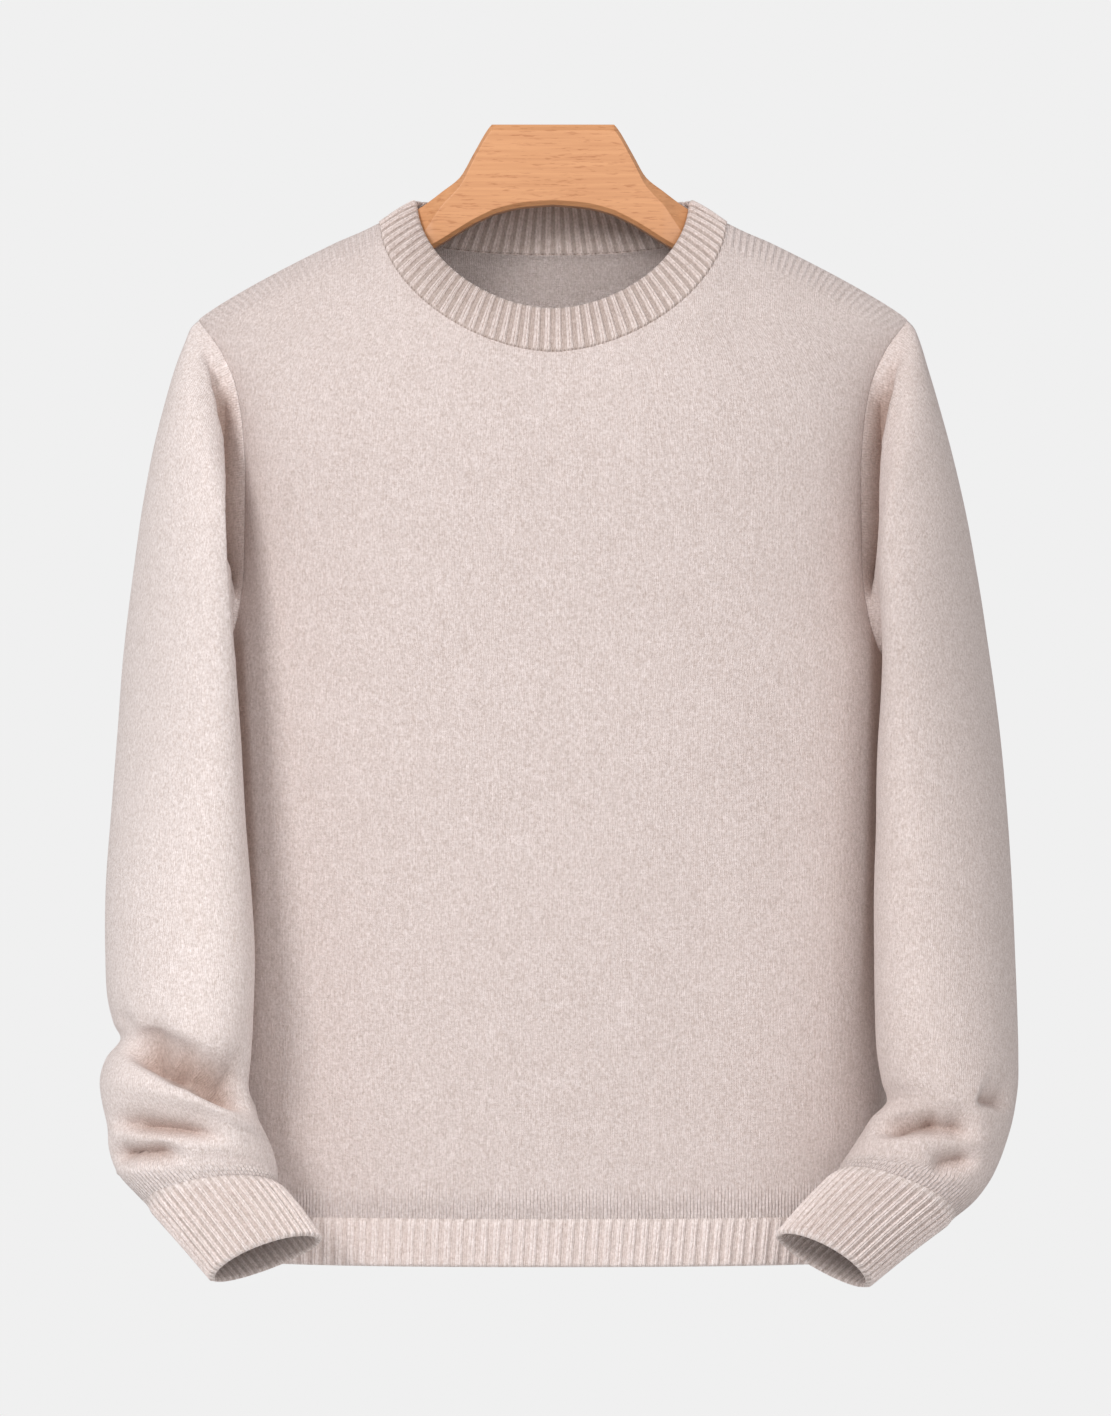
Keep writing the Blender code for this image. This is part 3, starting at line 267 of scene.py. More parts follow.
# ---------------------------------------------------------------- hanger
HANGER = table(
    "across top bottom half_thickness top_flat top_drop",
    (0.0, 3.4, -47.9, 12.0, 8.5, 4.0),
    (20.0, 3.4, -49.6, 12.0, 8.5, 4.0),
    (38.9, 3.4, -54.3, 12.0, 8.5, 4.0),
    (41.0, 1.2, -55.3, 12.0, 8.5, 4.0),
    (50.9, -15.5, -60.2, 12.0, 8.0, 4.5),
    (59.6, -30.4, -65.4, 12.0, 7.0, 6.0),
    (70.0, -38.6, -72.0, 12.0, 5.0, 9.0),
    (87.1, -50.6, -82.0, 10.0, 0.7, 19.0),
)
ARM_STATIONS = table(
    "across seat bottom half_thickness",
    (110.0, 3.8, -97.0, 10.0),
    (135.0, 3.5, -109.0, 10.0),
    (160.0, 3.5, -120.0, 10.0),
    (185.0, 4.0, -130.5, 8.5),
    (205.0, 4.8, -136.0, 6.0),
)
ARM_TOP_FLAT = 0.7 * MM
ARM_TOP_DROP = 16.0 * MM
HANGER_EDGE = 3.0 * MM
HANGER_ROUNDING = 1.6 * MM
HANGER_ROUNDED_ANGLE = np.radians(22)
HANGER_SHARP_ANGLE = np.radians(40)

# ---------------------------------------------------------------- colours, in linear light
# One yarn throughout; its pieces differ by painted light and shade: the left sleeve, the cuffs and
# the hem are painted lighter than the front, the right sleeve and right cuff darker than their left
# twins, as light from the left falls; the back pieces are a little darker than the front ones.
YARN_WITH_PAINTED_LIGHT = {
    "front": (0.735, 0.628, 0.600),
    "back": (0.725, 0.618, 0.590),
    "sleeve_left": (0.830, 0.726, 0.698),
    "sleeve_right": (0.720, 0.612, 0.582),
    "neckband": (0.725, 0.615, 0.580),
    "hem_rib_front": (0.810, 0.700, 0.668),
    "hem_rib_back": (0.800, 0.690, 0.658),
    "cuff_left": (0.850, 0.742, 0.710),
    "cuff_right": (0.820, 0.712, 0.680),
}
YARN_DARK = (0.80, 0.765, 0.735)  # the darkest flecks over the colour
YARN_BRIGHT = (1.13, 1.15, 1.16)
SHADE_WARMTH_POWERS = (1.0, 1.12, 1.22)  # painted shade in a recess is warmer as well as darker
FLECK_LIMITS = (0.36, 0.64)  # where the flecks are darkest and brightest, in the noise
# Of the ribbed pieces, how bright the painted shade leaves the recess, and how dark the stitches of
# the seam are.
RIB_SHADES_AND_LINKING = {
    "neckband": (0.74, 0.40),
    "hem_rib_front": (0.90, 0.08),
    "hem_rib_back": (0.90, 0.08),
    "cuff_left": (0.82, 0.08),
    "cuff_right": (0.82, 0.08),
}
BEECH = (0.690, 0.330, 0.150)
BEECH_DARK = (0.470, 0.185, 0.070)
FLOOR_PAINT = (0.86, 0.86, 0.86, 1)

# ---------------------------------------------------------------- stage, in metres and watts
FLOOR_REACH = 3.0
FLOOR_LEVEL = -1.30
BACKGROUND = 0.871  # how bright the sky looks
SKY_LIGHT = 0.40  # how much it lights
LIGHTS = table(
    "x y z size power",
    (-2.5, -3.8, 2.0, 1.6, 138.0),
    (1.3, -3.7, 1.2, 2.4, 56.0),
)
LIGHTS_TOWARDS = (0.0, 0.0, -0.4)
CAMERA_PLACE = (0.0016, -5.0, -0.3730)
FRAME_HEIGHT = 0.8977  # how much the camera sees at the distance of the front
FRAME_DISTANCE = 4.95
SENSOR = 24.0  # in millimetres


def unit(vectors):
    """Vectors scaled to length one."""
    return vectors / np.maximum(np.linalg.norm(vectors, axis=-1, keepdims=True), 1e-12)


def smoothstep(low, high, value):
    """Zero below low, one above high, and a smooth S between."""
    share = np.clip((value - low) / (high - low), 0, 1)
    return share * share * (3 - 2 * share)


def smooth_curve(knots, values, at):
    """A smooth curve through the knots that never overshoots them: cubic pieces whose slope at a
    knot is the harmonic mean of the slopes beside it, or zero at a turning point."""
    steps = np.diff(values) / np.diff(knots)
    product = steps[:-1] * steps[1:]
    total = steps[:-1] + steps[1:]
    middle = np.where(product > 0, 2 * product / np.where(product > 0, total, 1.0), 0.0)
    slopes = np.concatenate([steps[:1], middle, steps[-1:]])
    low = np.clip(np.searchsorted(knots, at, side="right") - 1, 0, len(knots) - 2)
    span = (knots[1:] - knots[:-1])[low]
    t = np.clip((at - knots[low]) / span, 0.0, 1.0)
    return (
        values[low] * (1 + 2 * t) * (1 - t) ** 2
        + values[low + 1] * t**2 * (3 - 2 * t)
        + slopes[low] * span * t * (1 - t) ** 2
        - slopes[low + 1] * span * t**2 * (1 - t)
    )


def through_rings(knots, rings, at):
    """Rings between rings: a cubic along each column whose slope at a ring is the mean of the
    slopes beside it, each weighted by the other's span."""
    spans = np.diff(knots)[:, None, None]
    steps = np.diff(rings, axis=0) / spans
    middle = (steps[:-1] * spans[1:] + steps[1:] * spans[:-1]) / (spans[1:] + spans[:-1])
    slopes = np.concatenate([steps[:1], middle, steps[-1:]])
    low = np.clip(np.searchsorted(knots, at, side="right") - 1, 0, len(knots) - 2)
    span = spans[low]
    t = np.clip((at - knots[low])[:, None, None] / span, 0, 1)
    return (
        rings[low] * (1 + 2 * t) * (1 - t) ** 2
        + rings[low + 1] * t**2 * (3 - 2 * t)
        + slopes[low] * span * t * (1 - t) ** 2
        - slopes[low + 1] * span * t**2 * (1 - t)
    )


def body_size(column, height):
    """One column of the body's table at any height, in metres or as a share."""
    scale = 1.0 if column == "armhole_share" else MM
    return smooth_curve(BODY["height"] * MM, BODY[column] * scale, np.asarray(height, float))


def lengths_along(points):
    """Distance along a line of points, from its first."""
    return np.concatenate([[0.0], np.cumsum(np.linalg.norm(np.diff(points, axis=0), axis=1))])


def even_stations(points, shares):
    """Where along a finely sampled line each share of its length falls, as a fractional index."""
    lengths = lengths_along(points)
    return np.interp(np.asarray(shares) * lengths[-1], lengths, np.arange(len(points)))


def at_index(index, line):
    """A line of points read at fractional indices."""
    places = np.arange(len(line))
    return np.stack([np.interp(index, places, line[:, k]) for k in range(line.shape[1])], axis=1)


def ridge_height(across):
    """Height of the shoulder line: a straight fall from the neck point to the tip, with a crown
    that is fullest near the tip, and an arch over the neck opening."""
    reach = np.abs(across)
    share = (reach - NECK_POINT[0]) / (SHOULDER_TIP[0] - NECK_POINT[0])
    outer = NECK_POINT[1] + (SHOULDER_TIP[1] - NECK_POINT[1]) * share
    crown = SHOULDER_CROWN * np.sqrt(np.sin(np.pi * np.clip(share, 0, 1) ** 1.5).clip(0))
    outer = outer + crown * smoothstep(0, 0.25, share)
    arch = NECK_ARCH + (NECK_POINT[1] - NECK_ARCH) * (reach / NECK_POINT[0]) ** 2
    return np.where(reach < NECK_POINT[0], arch, outer)


def drape(across, height, is_front):
    """Depth of the long troughs: a bell across each trough, faded in and out along its length."""
    total = np.zeros(np.broadcast(across, height).shape)
    for row in range(len(DRAPES["across"])):
        centre, width, depth, top, bottom = (
            DRAPES[name][row] * MM for name in ("across", "half_width", "depth", "top", "bottom")
        )
        if bool(DRAPES["front"][row]) != is_front:
            continue
        along = np.clip((top - height) / (top - bottom), 0, 1)
        total = total + depth * np.exp(-(((across - centre) / width) ** 2)) * np.sin(np.pi * along)
    return total


def panel_depth(across, height, is_front):
    """Distance of the cloth from the plane of the shoulder seams: a rounded level section, times
    a quarter wave that closes it over the shoulders, less the long troughs."""
    column = "front_depth" if is_front else "back_depth"
    share = np.clip(np.abs(across) / body_size("half_width", height), 0, 1)
    section = np.maximum(1 - share**ROUNDNESS, 0) ** (1 / ROUNDNESS)
    middle, tip = SHOULDER_ROUND
    rounding = middle + (tip - middle) * np.abs(across) / SHOULDER_TIP[0]
    below = np.clip((ridge_height(across) - height) / rounding, 0, 1)
    closing = np.sin(np.pi / 2 * below) ** SHOULDER_CURVE
    return section * closing * (body_size(column, height) - drape(across, height, is_front))


def on_panel(across, height, is_front):
    """Points of a panel's outer surface."""
    depth = panel_depth(across, height, is_front)
    return np.stack([across, -depth if is_front else depth, height], axis=-1)


def side_edge():
    """Across and height down the right edge of a panel, from the hem to the shoulder tip."""
    seam_height = np.linspace(HEM_SEAM, UNDERARM, SIDE_SEAM_STEPS + 1)
    fine = np.linspace(UNDERARM, SHOULDER_TIP[1], FINE_POINTS // 2)
    fine_across = body_size("half_width", fine) * body_size("armhole_share", fine)
    step = np.linspace(0, 1, ARMHOLE_STEPS + 1)
    shares = 0.5 * step + 0.25 * (1 - np.cos(np.pi * step))
    index = even_stations(on_panel(fine_across, fine, True), shares)
    height = np.interp(index, np.arange(len(fine)), fine)
    across = np.interp(index, np.arange(len(fine)), fine_across)
    return (
        np.concatenate([body_size("half_width", seam_height)[:-1], across]),
        np.concatenate([seam_height[:-1], height]),
    )


def band_arch(arch, angle):
    """Across, reach and height of one edge of the neckband, from the left neck point (angle 0) to
    the right one (angle pi): a rounded arch whose powers of cosine and sine come from its
    exponent."""
    size = {name: values[arch] for name, values in BAND_ARCHES.items()}
    power = 2 / size["exponent"]
    cosine, sine = np.cos(angle), np.abs(np.sin(angle))
    across = -size["half_width"] * np.sign(cosine) * np.abs(cosine) ** power
    height = size["top"] - size["drop"] * sine**power
    return across * MM, size["reach"] * sine**1.1 * MM, height * MM


def neck_angles(is_front, shares):
    """The angle at each share of the length of a panel's neckline."""
    fine = np.linspace(0, np.pi, FINE_POINTS)
    across, _, height = band_arch(FRONT_SEAM if is_front else BACK_SEAM, fine)
    index = even_stations(on_panel(across, height, is_front), shares)
    return np.interp(index, np.arange(len(fine)), fine)


def panel_grid(is_front):
    """Across and height of a panel's points, rows from hem to neckline and columns from left to
    right: the sheet between its four edges, each inner point being both pairs of edges blended,
    less the corners. A side edge runs up the side seam, the armhole and the shoulder."""
    side_across, side_height = side_edge()
    share = np.interp(
        np.linspace(0, 1, SHOULDER_STEPS + 1),
        np.linspace(0, 1, len(SHOULDER_SHARES)),
        SHOULDER_SHARES,
    )
    shoulder = NECK_POINT[0] + (SHOULDER_TIP[0] - NECK_POINT[0]) * share
    edge_across = np.concatenate([side_across[:-1], shoulder])
    edge_height = np.concatenate([side_height[:-1], ridge_height(shoulder)])
    columns = (FRONT_NECK_STEPS if is_front else BACK_NECK_STEPS) + 1
    u = np.linspace(0, 1, columns)
    v = np.linspace(0, 1, len(edge_across))[:, None]
    angles = neck_angles(is_front, 0.35 * u + 0.325 * (1 - np.cos(np.pi * u)))
    top_across, _, top_height = band_arch(FRONT_SEAM if is_front else BACK_SEAM, angles)
    hem_share = 0.15 * (2 * u - 1) + 0.85 * np.sin(np.pi / 2 * (2 * u - 1))
    hem_across = edge_across[0] * hem_share
    hem_height = np.full(columns, edge_height[0])

    def blended(bottom, top, left, right):
        """One coordinate of the sheet, from the same one along its four edges."""
        corners = (1 - v) * ((1 - u) * bottom[0] + u * bottom[-1]) + v * (
            (1 - u) * top[0] + u * top[-1]
        )
        return (1 - v) * bottom + v * top + (1 - u) * left[:, None] + u * right[:, None] - corners

    grid_across = blended(hem_across, top_across, -edge_across, edge_across)
    grid_height = blended(hem_height, top_height, edge_height, edge_height)
    return grid_across, grid_height


def grid_normals(points, closed):
    """Unit normals of a grid from its neighbours' differences; columns wrap round if closed."""
    along = np.gradient(points, axis=0)
    if closed:
        around = (np.roll(points, -1, axis=1) - np.roll(points, 1, axis=1)) / 2
    else:
        around = np.gradient(points, axis=1)
    return unit(np.cross(around, along))


def wale_count(across, height, is_front):
    """How many wales a point of a panel lies from the middle one: the length of the level section
    out to it, read from a table of sections, over one wale's width."""
    heights = np.linspace(HEM_SEAM, NECK_ARCH, 160)
    shares = np.sin(np.linspace(0, np.pi / 2, 160))
    width = np.maximum(body_size("half_width", heights), 1e-6)
    x = shares[None, :] * width[:, None]
    y = panel_depth(x, np.broadcast_to(heights[:, None], x.shape), is_front)
    steps = np.hypot(np.diff(x, axis=1), np.diff(y, axis=1))
    arc = np.concatenate([np.zeros((len(heights), 1)), np.cumsum(steps, axis=1)], axis=1)
    arc[heights > CHEST] = arc[np.searchsorted(heights, CHEST)]
    share = np.clip(np.abs(across) / body_size("half_width", height), 0, 1)
    row = np.clip((height - heights[0]) / (heights[1] - heights[0]), 0, len(heights) - 1.001)
    column = np.arcsin(share) / (np.pi / 2) * (len(shares) - 1)
    column = np.clip(column, 0, len(shares) - 1.001)
    r, c = row.astype(int), column.astype(int)
    a, b = row - r, column - c
    length = (
        arc[r, c] * (1 - a) * (1 - b)
        + arc[r + 1, c] * a * (1 - b)
        + arc[r, c + 1] * (1 - a) * b
        + arc[r + 1, c + 1] * a * b
    )
    return np.sign(across) * length / WALE


def marked(made, marks):
    """A wall with its marks by their names: a number at each of its points, the same on its outer
    and its inner side."""
    for name, values in marks.items():
        attribute = made.data.attributes.new(name, "FLOAT", "POINT")
        attribute.data.foreach_set("value", np.tile(values.ravel(), 2).astype(np.float32))
    return made


def quads(rows, columns, closed):
    """Row, column and corners of each face of a grid of points; the last column joins the first
    one if the grid is closed."""
    steps = columns if closed else columns - 1
    row, column = np.meshgrid(np.arange(rows - 1), np.arange(steps), indexing="ij")
    here, after = row * columns + column, row * columns + (column + 1) % columns
    faces = np.stack([here, after, after + columns, here + columns], axis=-1)
    return row, column, faces.reshape(-1, 4)


def knit_mesh(name, outer, inner, closed, uv, split=None):
    """A closed wall of cloth from an outer and an inner grid of one size. uv counts stitches at
    each grid point; a closed grid's uv has one more column, and past column `split` it starts
    again from the other side of the seam."""
    rows, columns = outer.shape[:2]
    size = rows * columns
    row, column, front = quads(rows, columns, closed)
    corner_uv = np.stack(
        [uv[row, column], uv[row, column + 1], uv[row + 1, column + 1], uv[row + 1, column]],
        axis=-2,
    )
    if split is not None:
        whole = uv[:, -1:] - uv[:, :1]
        past = (column >= split)[..., None, None]
        here, below = whole[row, 0], whole[row + 1, 0]
        shift = np.stack([here, here, below, below], axis=-2)
        corner_uv = corner_uv - past * shift * np.array((1.0, 0.0))
    corner_uv = corner_uv.reshape(-1, 4, 2)
    faces = [front, front[:, ::-1] + size]
    uvs = [corner_uv, corner_uv[:, ::-1]]
    number = np.arange(size).reshape(rows, columns)
    edge, line = np.arange(column.shape[1]), np.arange(rows - 1)
    around = (edge + 1) % columns
    rims = [
        (number[at, edge], number[at, around], uv[at, edge], uv[at, edge + 1], (0, 1), turn)
        for at, turn in ((0, 1), (rows - 1, -1))
    ]
    if not closed:
        rims += [
            (number[line, at], number[line + 1, at], uv[line, at], uv[line + 1, at], (1, 0), turn)
            for at, turn in ((0, -1), (columns - 1, 1))
        ]
    for here, after, here_uv, after_uv, inwards, turn in rims:
        rim = np.stack([here, here + size, after + size, after], axis=-1)
        rim_uv = np.stack([here_uv, here_uv, after_uv, after_uv], axis=-2)
        faces.append(rim[:, ::turn])
        uvs.append((rim_uv + np.outer((0, 1, 1, 0), inwards))[:, ::turn])
    faces = np.concatenate(faces)
    uvs = np.concatenate(uvs)
    points = np.concatenate([outer.reshape(-1, 3), inner.reshape(-1, 3)]) - (0, 0, TABLE_LEVEL)
    a, b, c, d = points[faces].transpose(1, 0, 2)
    volume = np.einsum("ij,ij->i", a, np.cross(b, c) + np.cross(c, d)).sum()
    if volume < 0:  # the faces point into the cloth
        faces, uvs = faces[:, ::-1], uvs[:, ::-1]
    return plain_mesh(name, points, faces, uvs)


def new_object(name, data):
    """An object in the scene from a mesh, a light or a camera."""
    made = bpy.data.objects.new(name, data)
    bpy.context.scene.collection.objects.link(made)
    return made


def plain_mesh(name, points, faces, uvs=None):
    """One smooth object from arrays of points, of faces with one number of corners, and of their
    UVs. Its sharp edges stay sharp."""
    mesh = bpy.data.meshes.new(name)
    count, corners = faces.shape
    mesh.vertices.add(len(points))
    mesh.vertices.foreach_set("co", np.ascontiguousarray(points, dtype=np.float32).ravel())
    mesh.loops.add(count * corners)
    mesh.loops.foreach_set("vertex_index", np.ascontiguousarray(faces, dtype=np.int32).ravel())
    mesh.polygons.add(count)
    mesh.polygons.foreach_set("loop_start", np.arange(0, count * corners, corners, dtype=np.int32))
    mesh.update(calc_edges=True)
    if uvs is not None:
        layer = mesh.uv_layers.new(name="stitches")
        layer.data.foreach_set("uv", np.ascontiguousarray(uvs, dtype=np.float32).ravel())
    mesh.polygons.foreach_set("use_smooth", np.ones(count, bool))
    mesh.validate()
    mesh.set_sharp_from_angle(angle=SHARP_ANGLE)
    return new_object(name, mesh)


def seam_dip(distance):
    """How far the cloth sinks at a distance from a seam: a bell."""
    return SEAM_DIP * np.exp(-((distance / SEAM_DIP_REACH) ** 2))


def arm_line_shade(across, height):
    """How dark the painted shadow is on the body where a sleeve lies against it: nothing up to a
    few millimetres short of the sleeve's inner edge, and full beyond that edge."""
    knots = ARM_LINE["height"][::-1] * MM
    left, right, shade = (
        np.interp(height, knots, ARM_LINE[name][::-1] * scale)
        for name, scale in (("left", MM), ("right", MM), ("shade", 1))
    )
    past = np.abs(across) - np.where(across < 0, left, right)
    return shade * smoothstep(*ARM_LINE_EDGE, past)


def panel_surface(is_front):
    """Outer points, normals and stitch counts of a panel, and its marks: how far the wales stand
    out above the hem and under the shoulder line, the leaning count of the latter, and how dark
    the painted shadow beside the sleeves is. The cloth sinks along its seams by a bell of the
    distance."""
    across, height = panel_grid(is_front)
    points = on_panel(across, height, is_front)
    normals = grid_normals(points, closed=False) * (1 if is_front else -1)
    uv = np.stack([wale_count(across, height, is_front), height / COURSE], axis=-1)
    steps_up = np.linalg.norm(np.diff(points, axis=0), axis=2)
    steps_over = np.linalg.norm(np.diff(points, axis=1), axis=2)
    up = np.concatenate([np.zeros((1, across.shape[1])), np.cumsum(steps_up, axis=0)])
    over = np.concatenate([np.zeros((across.shape[0], 1)), np.cumsum(steps_over, axis=1)], axis=1)
    to_side = np.minimum(over, over[:, -1:] - over)
    dip = np.maximum(seam_dip(up[-1] - up), FLAT_SEAM_SHARE * seam_dip(np.minimum(up, to_side)))
    below = ridge_height(across) - height
    reach = np.abs(across)
    lean = 0.15 + 0.70 * smoothstep(NECK_POINT[0], SHOULDER_TIP[0], reach)
    marks = {
        "hem_wales": 1 - smoothstep(*HEM_WALES, height - HEM_SEAM),
        "shoulder_wales": (1 - smoothstep(*SHOULDER_WALES, below)) * (reach > NECK_POINT[0]),
        "shoulder_count": (reach + lean * below) / WALE,
        # the painted shadow on the front beside the sleeves, in the mark that carries the sleeves'
        # painted shade
        "valley": arm_line_shade(across, height) * is_front,
    }
    return points - dip[..., None] * normals, normals, uv, marks


def panel_edge_normals(points, normals):
    """Normals for the wall: at a seam they face the seam's own way, so that the wall of the piece
    across the seam meets this one face to face."""
    facing = normals.copy()
    facing[0] = unit(facing[0] * (1, 1, 0))
    for column, away in ((0, -1.0), (-1, 1.0)):
        facing[: SIDE_SEAM_STEPS + 1, column] = (away, 0, 0)
        tip = SIDE_SEAM_STEPS + ARMHOLE_STEPS
        slope = np.gradient(points[tip:, column], axis=0) * -away
        facing[tip:, column] = unit(np.stack([-slope[:, 2], 0 * slope[:, 0], slope[:, 0]], axis=1))
    return facing


def panel(name, is_front):
    """A body panel."""
    points, normals, uv, marks = panel_surface(is_front)
    facing = panel_edge_normals(points, normals)
    inner = points - WALL * facing
    inner[..., 1] = np.minimum(inner[..., 1], 0) if is_front else np.maximum(inner[..., 1], 0)
    return marked(knit_mesh(name, points, inner, False, uv), marks)


def armhole_loop(side):
    """An armhole's edge from the shoulder tip down the front and up the back."""
    edge_across, edge_height = side_edge()
    across, height = side * edge_across[SIDE_SEAM_STEPS:], edge_height[SIDE_SEAM_STEPS:]
    down = on_panel(across, height, True)[::-1]
    up = on_panel(across, height, False)
    return np.concatenate([down, up[1:-1]])


def ring_frame(rows, ring, side):
    """Middle, half chord and forward direction of one ring of a sleeve. The half chord is
    narrowed so that the sheared ring still ends where its row says."""
    row = {name: values[ring] for name, values in rows.items()}
    outer_end = np.array((side * row["outer_x"], row["outer_y"], row["outer_z"])) * MM
    inner_end = np.array((side * row["inner_x"], row["inner_y"], row["inner_z"])) * MM
    chord = (outer_end - inner_end) / 2
    sheared = row["shear"] * (row["front"] + row["back"]) / 2 * MM
    chord[0] = side * np.sqrt(max(chord[0] ** 2 - sheared**2, (0.3 * chord[0]) ** 2))
    pitch = np.radians(row["pitch"])
    rise = unit(np.array((-side * chord[2], 0.0, side * chord[0])))
    forward = np.cos(pitch) * np.array((0.0, -1.0, 0.0)) + np.sin(pitch) * rise
    return (outer_end + inner_end) / 2, chord, forward


def ring_points(rows, ring, side, angle):
    """One ring of a sleeve: an ellipse sheared towards the body at its front, with its own reach
    to front and back. Angle 0 is its outer end, a quarter turn its front."""
    row = {name: values[ring] for name, values in rows.items()}
    middle, chord, forward = ring_frame(rows, ring, side)
    reach = (np.where(np.sin(angle) > 0, row["front"], row["back"]) * MM * np.sin(angle))[:, None]
    leaning = forward + row["shear"] * np.array((-side, 0.0, 0.0))
    return middle + np.cos(angle)[:, None] * chord + reach * leaning


def ring_axis(rows, ring, side):
    """The way down the arm, square to one ring."""
    _, chord, forward = ring_frame(rows, ring, side)
    axis = unit(np.cross(chord, forward))
    return axis * (-1 if axis[2] > 0 else 1)


def sleeve_rings(rows, side, start):
    """A sleeve's rings as the frame has them: from the armhole's form to round sections, down to
    the flat ring at the cuff."""
    count = len(start)
    even = 2 * np.pi * np.arange(count) / count
    top, bottom = start[0], start[count // 2]
    up = unit((top - bottom) * (1, 0, 1))
    out = np.array((side * up[2], 0.0, -side * up[0]))
    local = start - (top + bottom) / 2
    high, deep, aside = local @ up, local[:, 1], local @ out
    start_angle = np.arccos(np.clip(high / high.max(), -1, 1))
    start_angle[count // 2 + 1 :] = 2 * np.pi - start_angle[count // 2 + 1 :]
    rings = [start]
    for ring in range(len(rows["own"])):
        own = rows["own"][ring]
        settle = min(1.0, (ring + 1) / SETTLING_RINGS)
        angle = (1 - settle) * start_angle + settle * even
        middle, chord, _ = ring_frame(rows, ring, side)
        out_here = unit(np.array((side * chord[2], 0.0, -side * chord[0])))
        inset = rows["inset"][ring] * MM * (np.sin(angle) ** 2)[:, None] * out_here
        round_form = ring_points(rows, ring, side, angle) - inset
        kept = (
            middle * (1, 0, 1)
            + (high / high.max())[:, None] * chord
            + deep[:, None] * np.array((0.0, 1.0, 0.0))
            + aside[:, None] * out_here
        )
        rings.append((1 - own) * kept + own * round_form)
    return np.stack(rings)


def outward(points, normals):
    """Normals of a closed grid, turned away from the middle of each ring."""
    facing = np.sum(normals[1:] * (points[1:] - points[1:].mean(axis=1, keepdims=True)), axis=2)
    return normals * (-1 if facing.mean() < 0 else 1)


def arc_uv(points, stitches, lengths):
    """Stitch counts of a closed grid: along each ring by its share of the way round, and down the
    grid by length. The outer end is column 0, and the first and last columns meet there."""
    ring = np.concatenate([points, points[:, :1]], axis=1)
    over = np.cumsum(np.linalg.norm(np.diff(ring, axis=1), axis=2), axis=1)
    over = np.concatenate([np.zeros((len(points), 1)), over], axis=1)
    along = np.broadcast_to(lengths[:, None], over.shape) / COURSE
    return np.stack([over / over[:, -1:] * stitches, -along], axis=-1)


def valley_depth(points, side):
    """How far a sleeve's points sink into the valley beside the body: a flat-bottomed trough about
    the valley's line, the same on the front and the back."""
    knots = VALLEY["height"][::-1] * MM
    across, reach, depth = (
        np.interp(points[..., 2], knots, VALLEY[name][::-1] * MM)
        for name in ("across", "reach", "depth")
    )
    return depth * (1 - smoothstep(0.45, 1.25, np.abs(side * points[..., 0] - across) / reach))


def crease_depth(points, normals, side):
    """How far a sleeve's points sink into its folds: a bell across each crease's line, seen from
    the front, faded out at both ends and where the cloth turns away. The back has folds like them,
    a little lower, with troughs for ridges."""
    total = np.zeros(points.shape[:-1])
    to_front = smoothstep(0.05, 0.55, -normals[..., 1])
    to_back = smoothstep(0.05, 0.55, normals[..., 1])
    for row in range(len(CREASES["side"])):
        if CREASES["side"][row] != side:
            continue
        crease = {name: values[row] * MM for name, values in CREASES.items()}
        start = np.array((crease["start_x"], crease["start_z"]))
        line = np.array((crease["end_x"], crease["end_z"])) - start
        faces = ((to_front, 1.0, 0.0), (to_back, BACK_CREASE_SHARE, BACK_CREASE_DROP))
        for facing, share, drop in faces:
            offset = points[..., [0, 2]] - start + (0.0, drop)
            along = offset @ line / (line @ line)
            away = (offset[..., 1] * line[0] - offset[..., 0] * line[1]) / np.sqrt(line @ line)
            fade = smoothstep(-0.18, 0.30, along) * (1 - smoothstep(0.70, 1.18, along))
            share_away = np.abs(away) / np.where(away > 0, crease["above"], crease["below"])
            power = np.where((away > 0) & (crease["cusped"] > 0), 1.15, 2.0)
            bell = np.exp(-(share_away**power))
            total = total + share * crease["depth"] * bell * fade * facing
    return total


def sleeve_surface(rows, side):
    """Outer points, normals and stitch counts of a sleeve, and its marks: how far its wales stand
    out above the cuff, and how dark the painted shade is deep in the valley and in the folds. Its
    rings are smoothed down the arm and closer together towards the wrist."""
    rings = sleeve_rings(rows, side, armhole_loop(side))
    spans = np.linalg.norm(np.diff(rings, axis=0), axis=2).mean(axis=1)
    knots = np.concatenate([[0.0], np.cumsum(spans)])
    at = np.linspace(0, 1, RING_ROWS + 1)
    at = knots[-1] * ((1 + RING_CROWDING) * at - RING_CROWDING * at**3)
    points = through_rings(knots, rings, at)
    normals = outward(points, grid_normals(points, closed=True))
    dip = FLAT_SEAM_SHARE * seam_dip(np.minimum(at, at[-1] - at))
    edge = smoothstep(0, CREASE_FADE, at[-1] - at)
    valley = smoothstep(0, VALLEY_START, at)[:, None] * valley_depth(points, side)
    creases = edge[:, None] * crease_depth(points, normals, side)
    points = points - (dip[:, None] + valley + creases)[..., None] * normals
    stitches = np.round(np.linspace(*SLEEVE_GIRTHS, len(at)) * MM / WALE)[:, None]
    cuff_wales = 1 - smoothstep(*CUFF_WALES, at[-1] - at)[:, None]
    marks = {
        "hem_wales": np.broadcast_to(cuff_wales, valley.shape),
        # painted shade, deepest in the valley and the folds
        "valley": np.maximum(
            smoothstep(0, VALLEY_DARK, valley), CREASE_SHADE * smoothstep(0, CREASE_DARK, creases)
        ),
    }
    return points, normals, arc_uv(points, stitches, at), marks


def sleeve(name, rows, side):
    """A sleeve."""
    points, normals, uv, marks = sleeve_surface(rows, side)
    inner = points - WALL * normals
    return marked(knit_mesh(name, points, inner, True, uv, split=points.shape[1] // 2), marks)


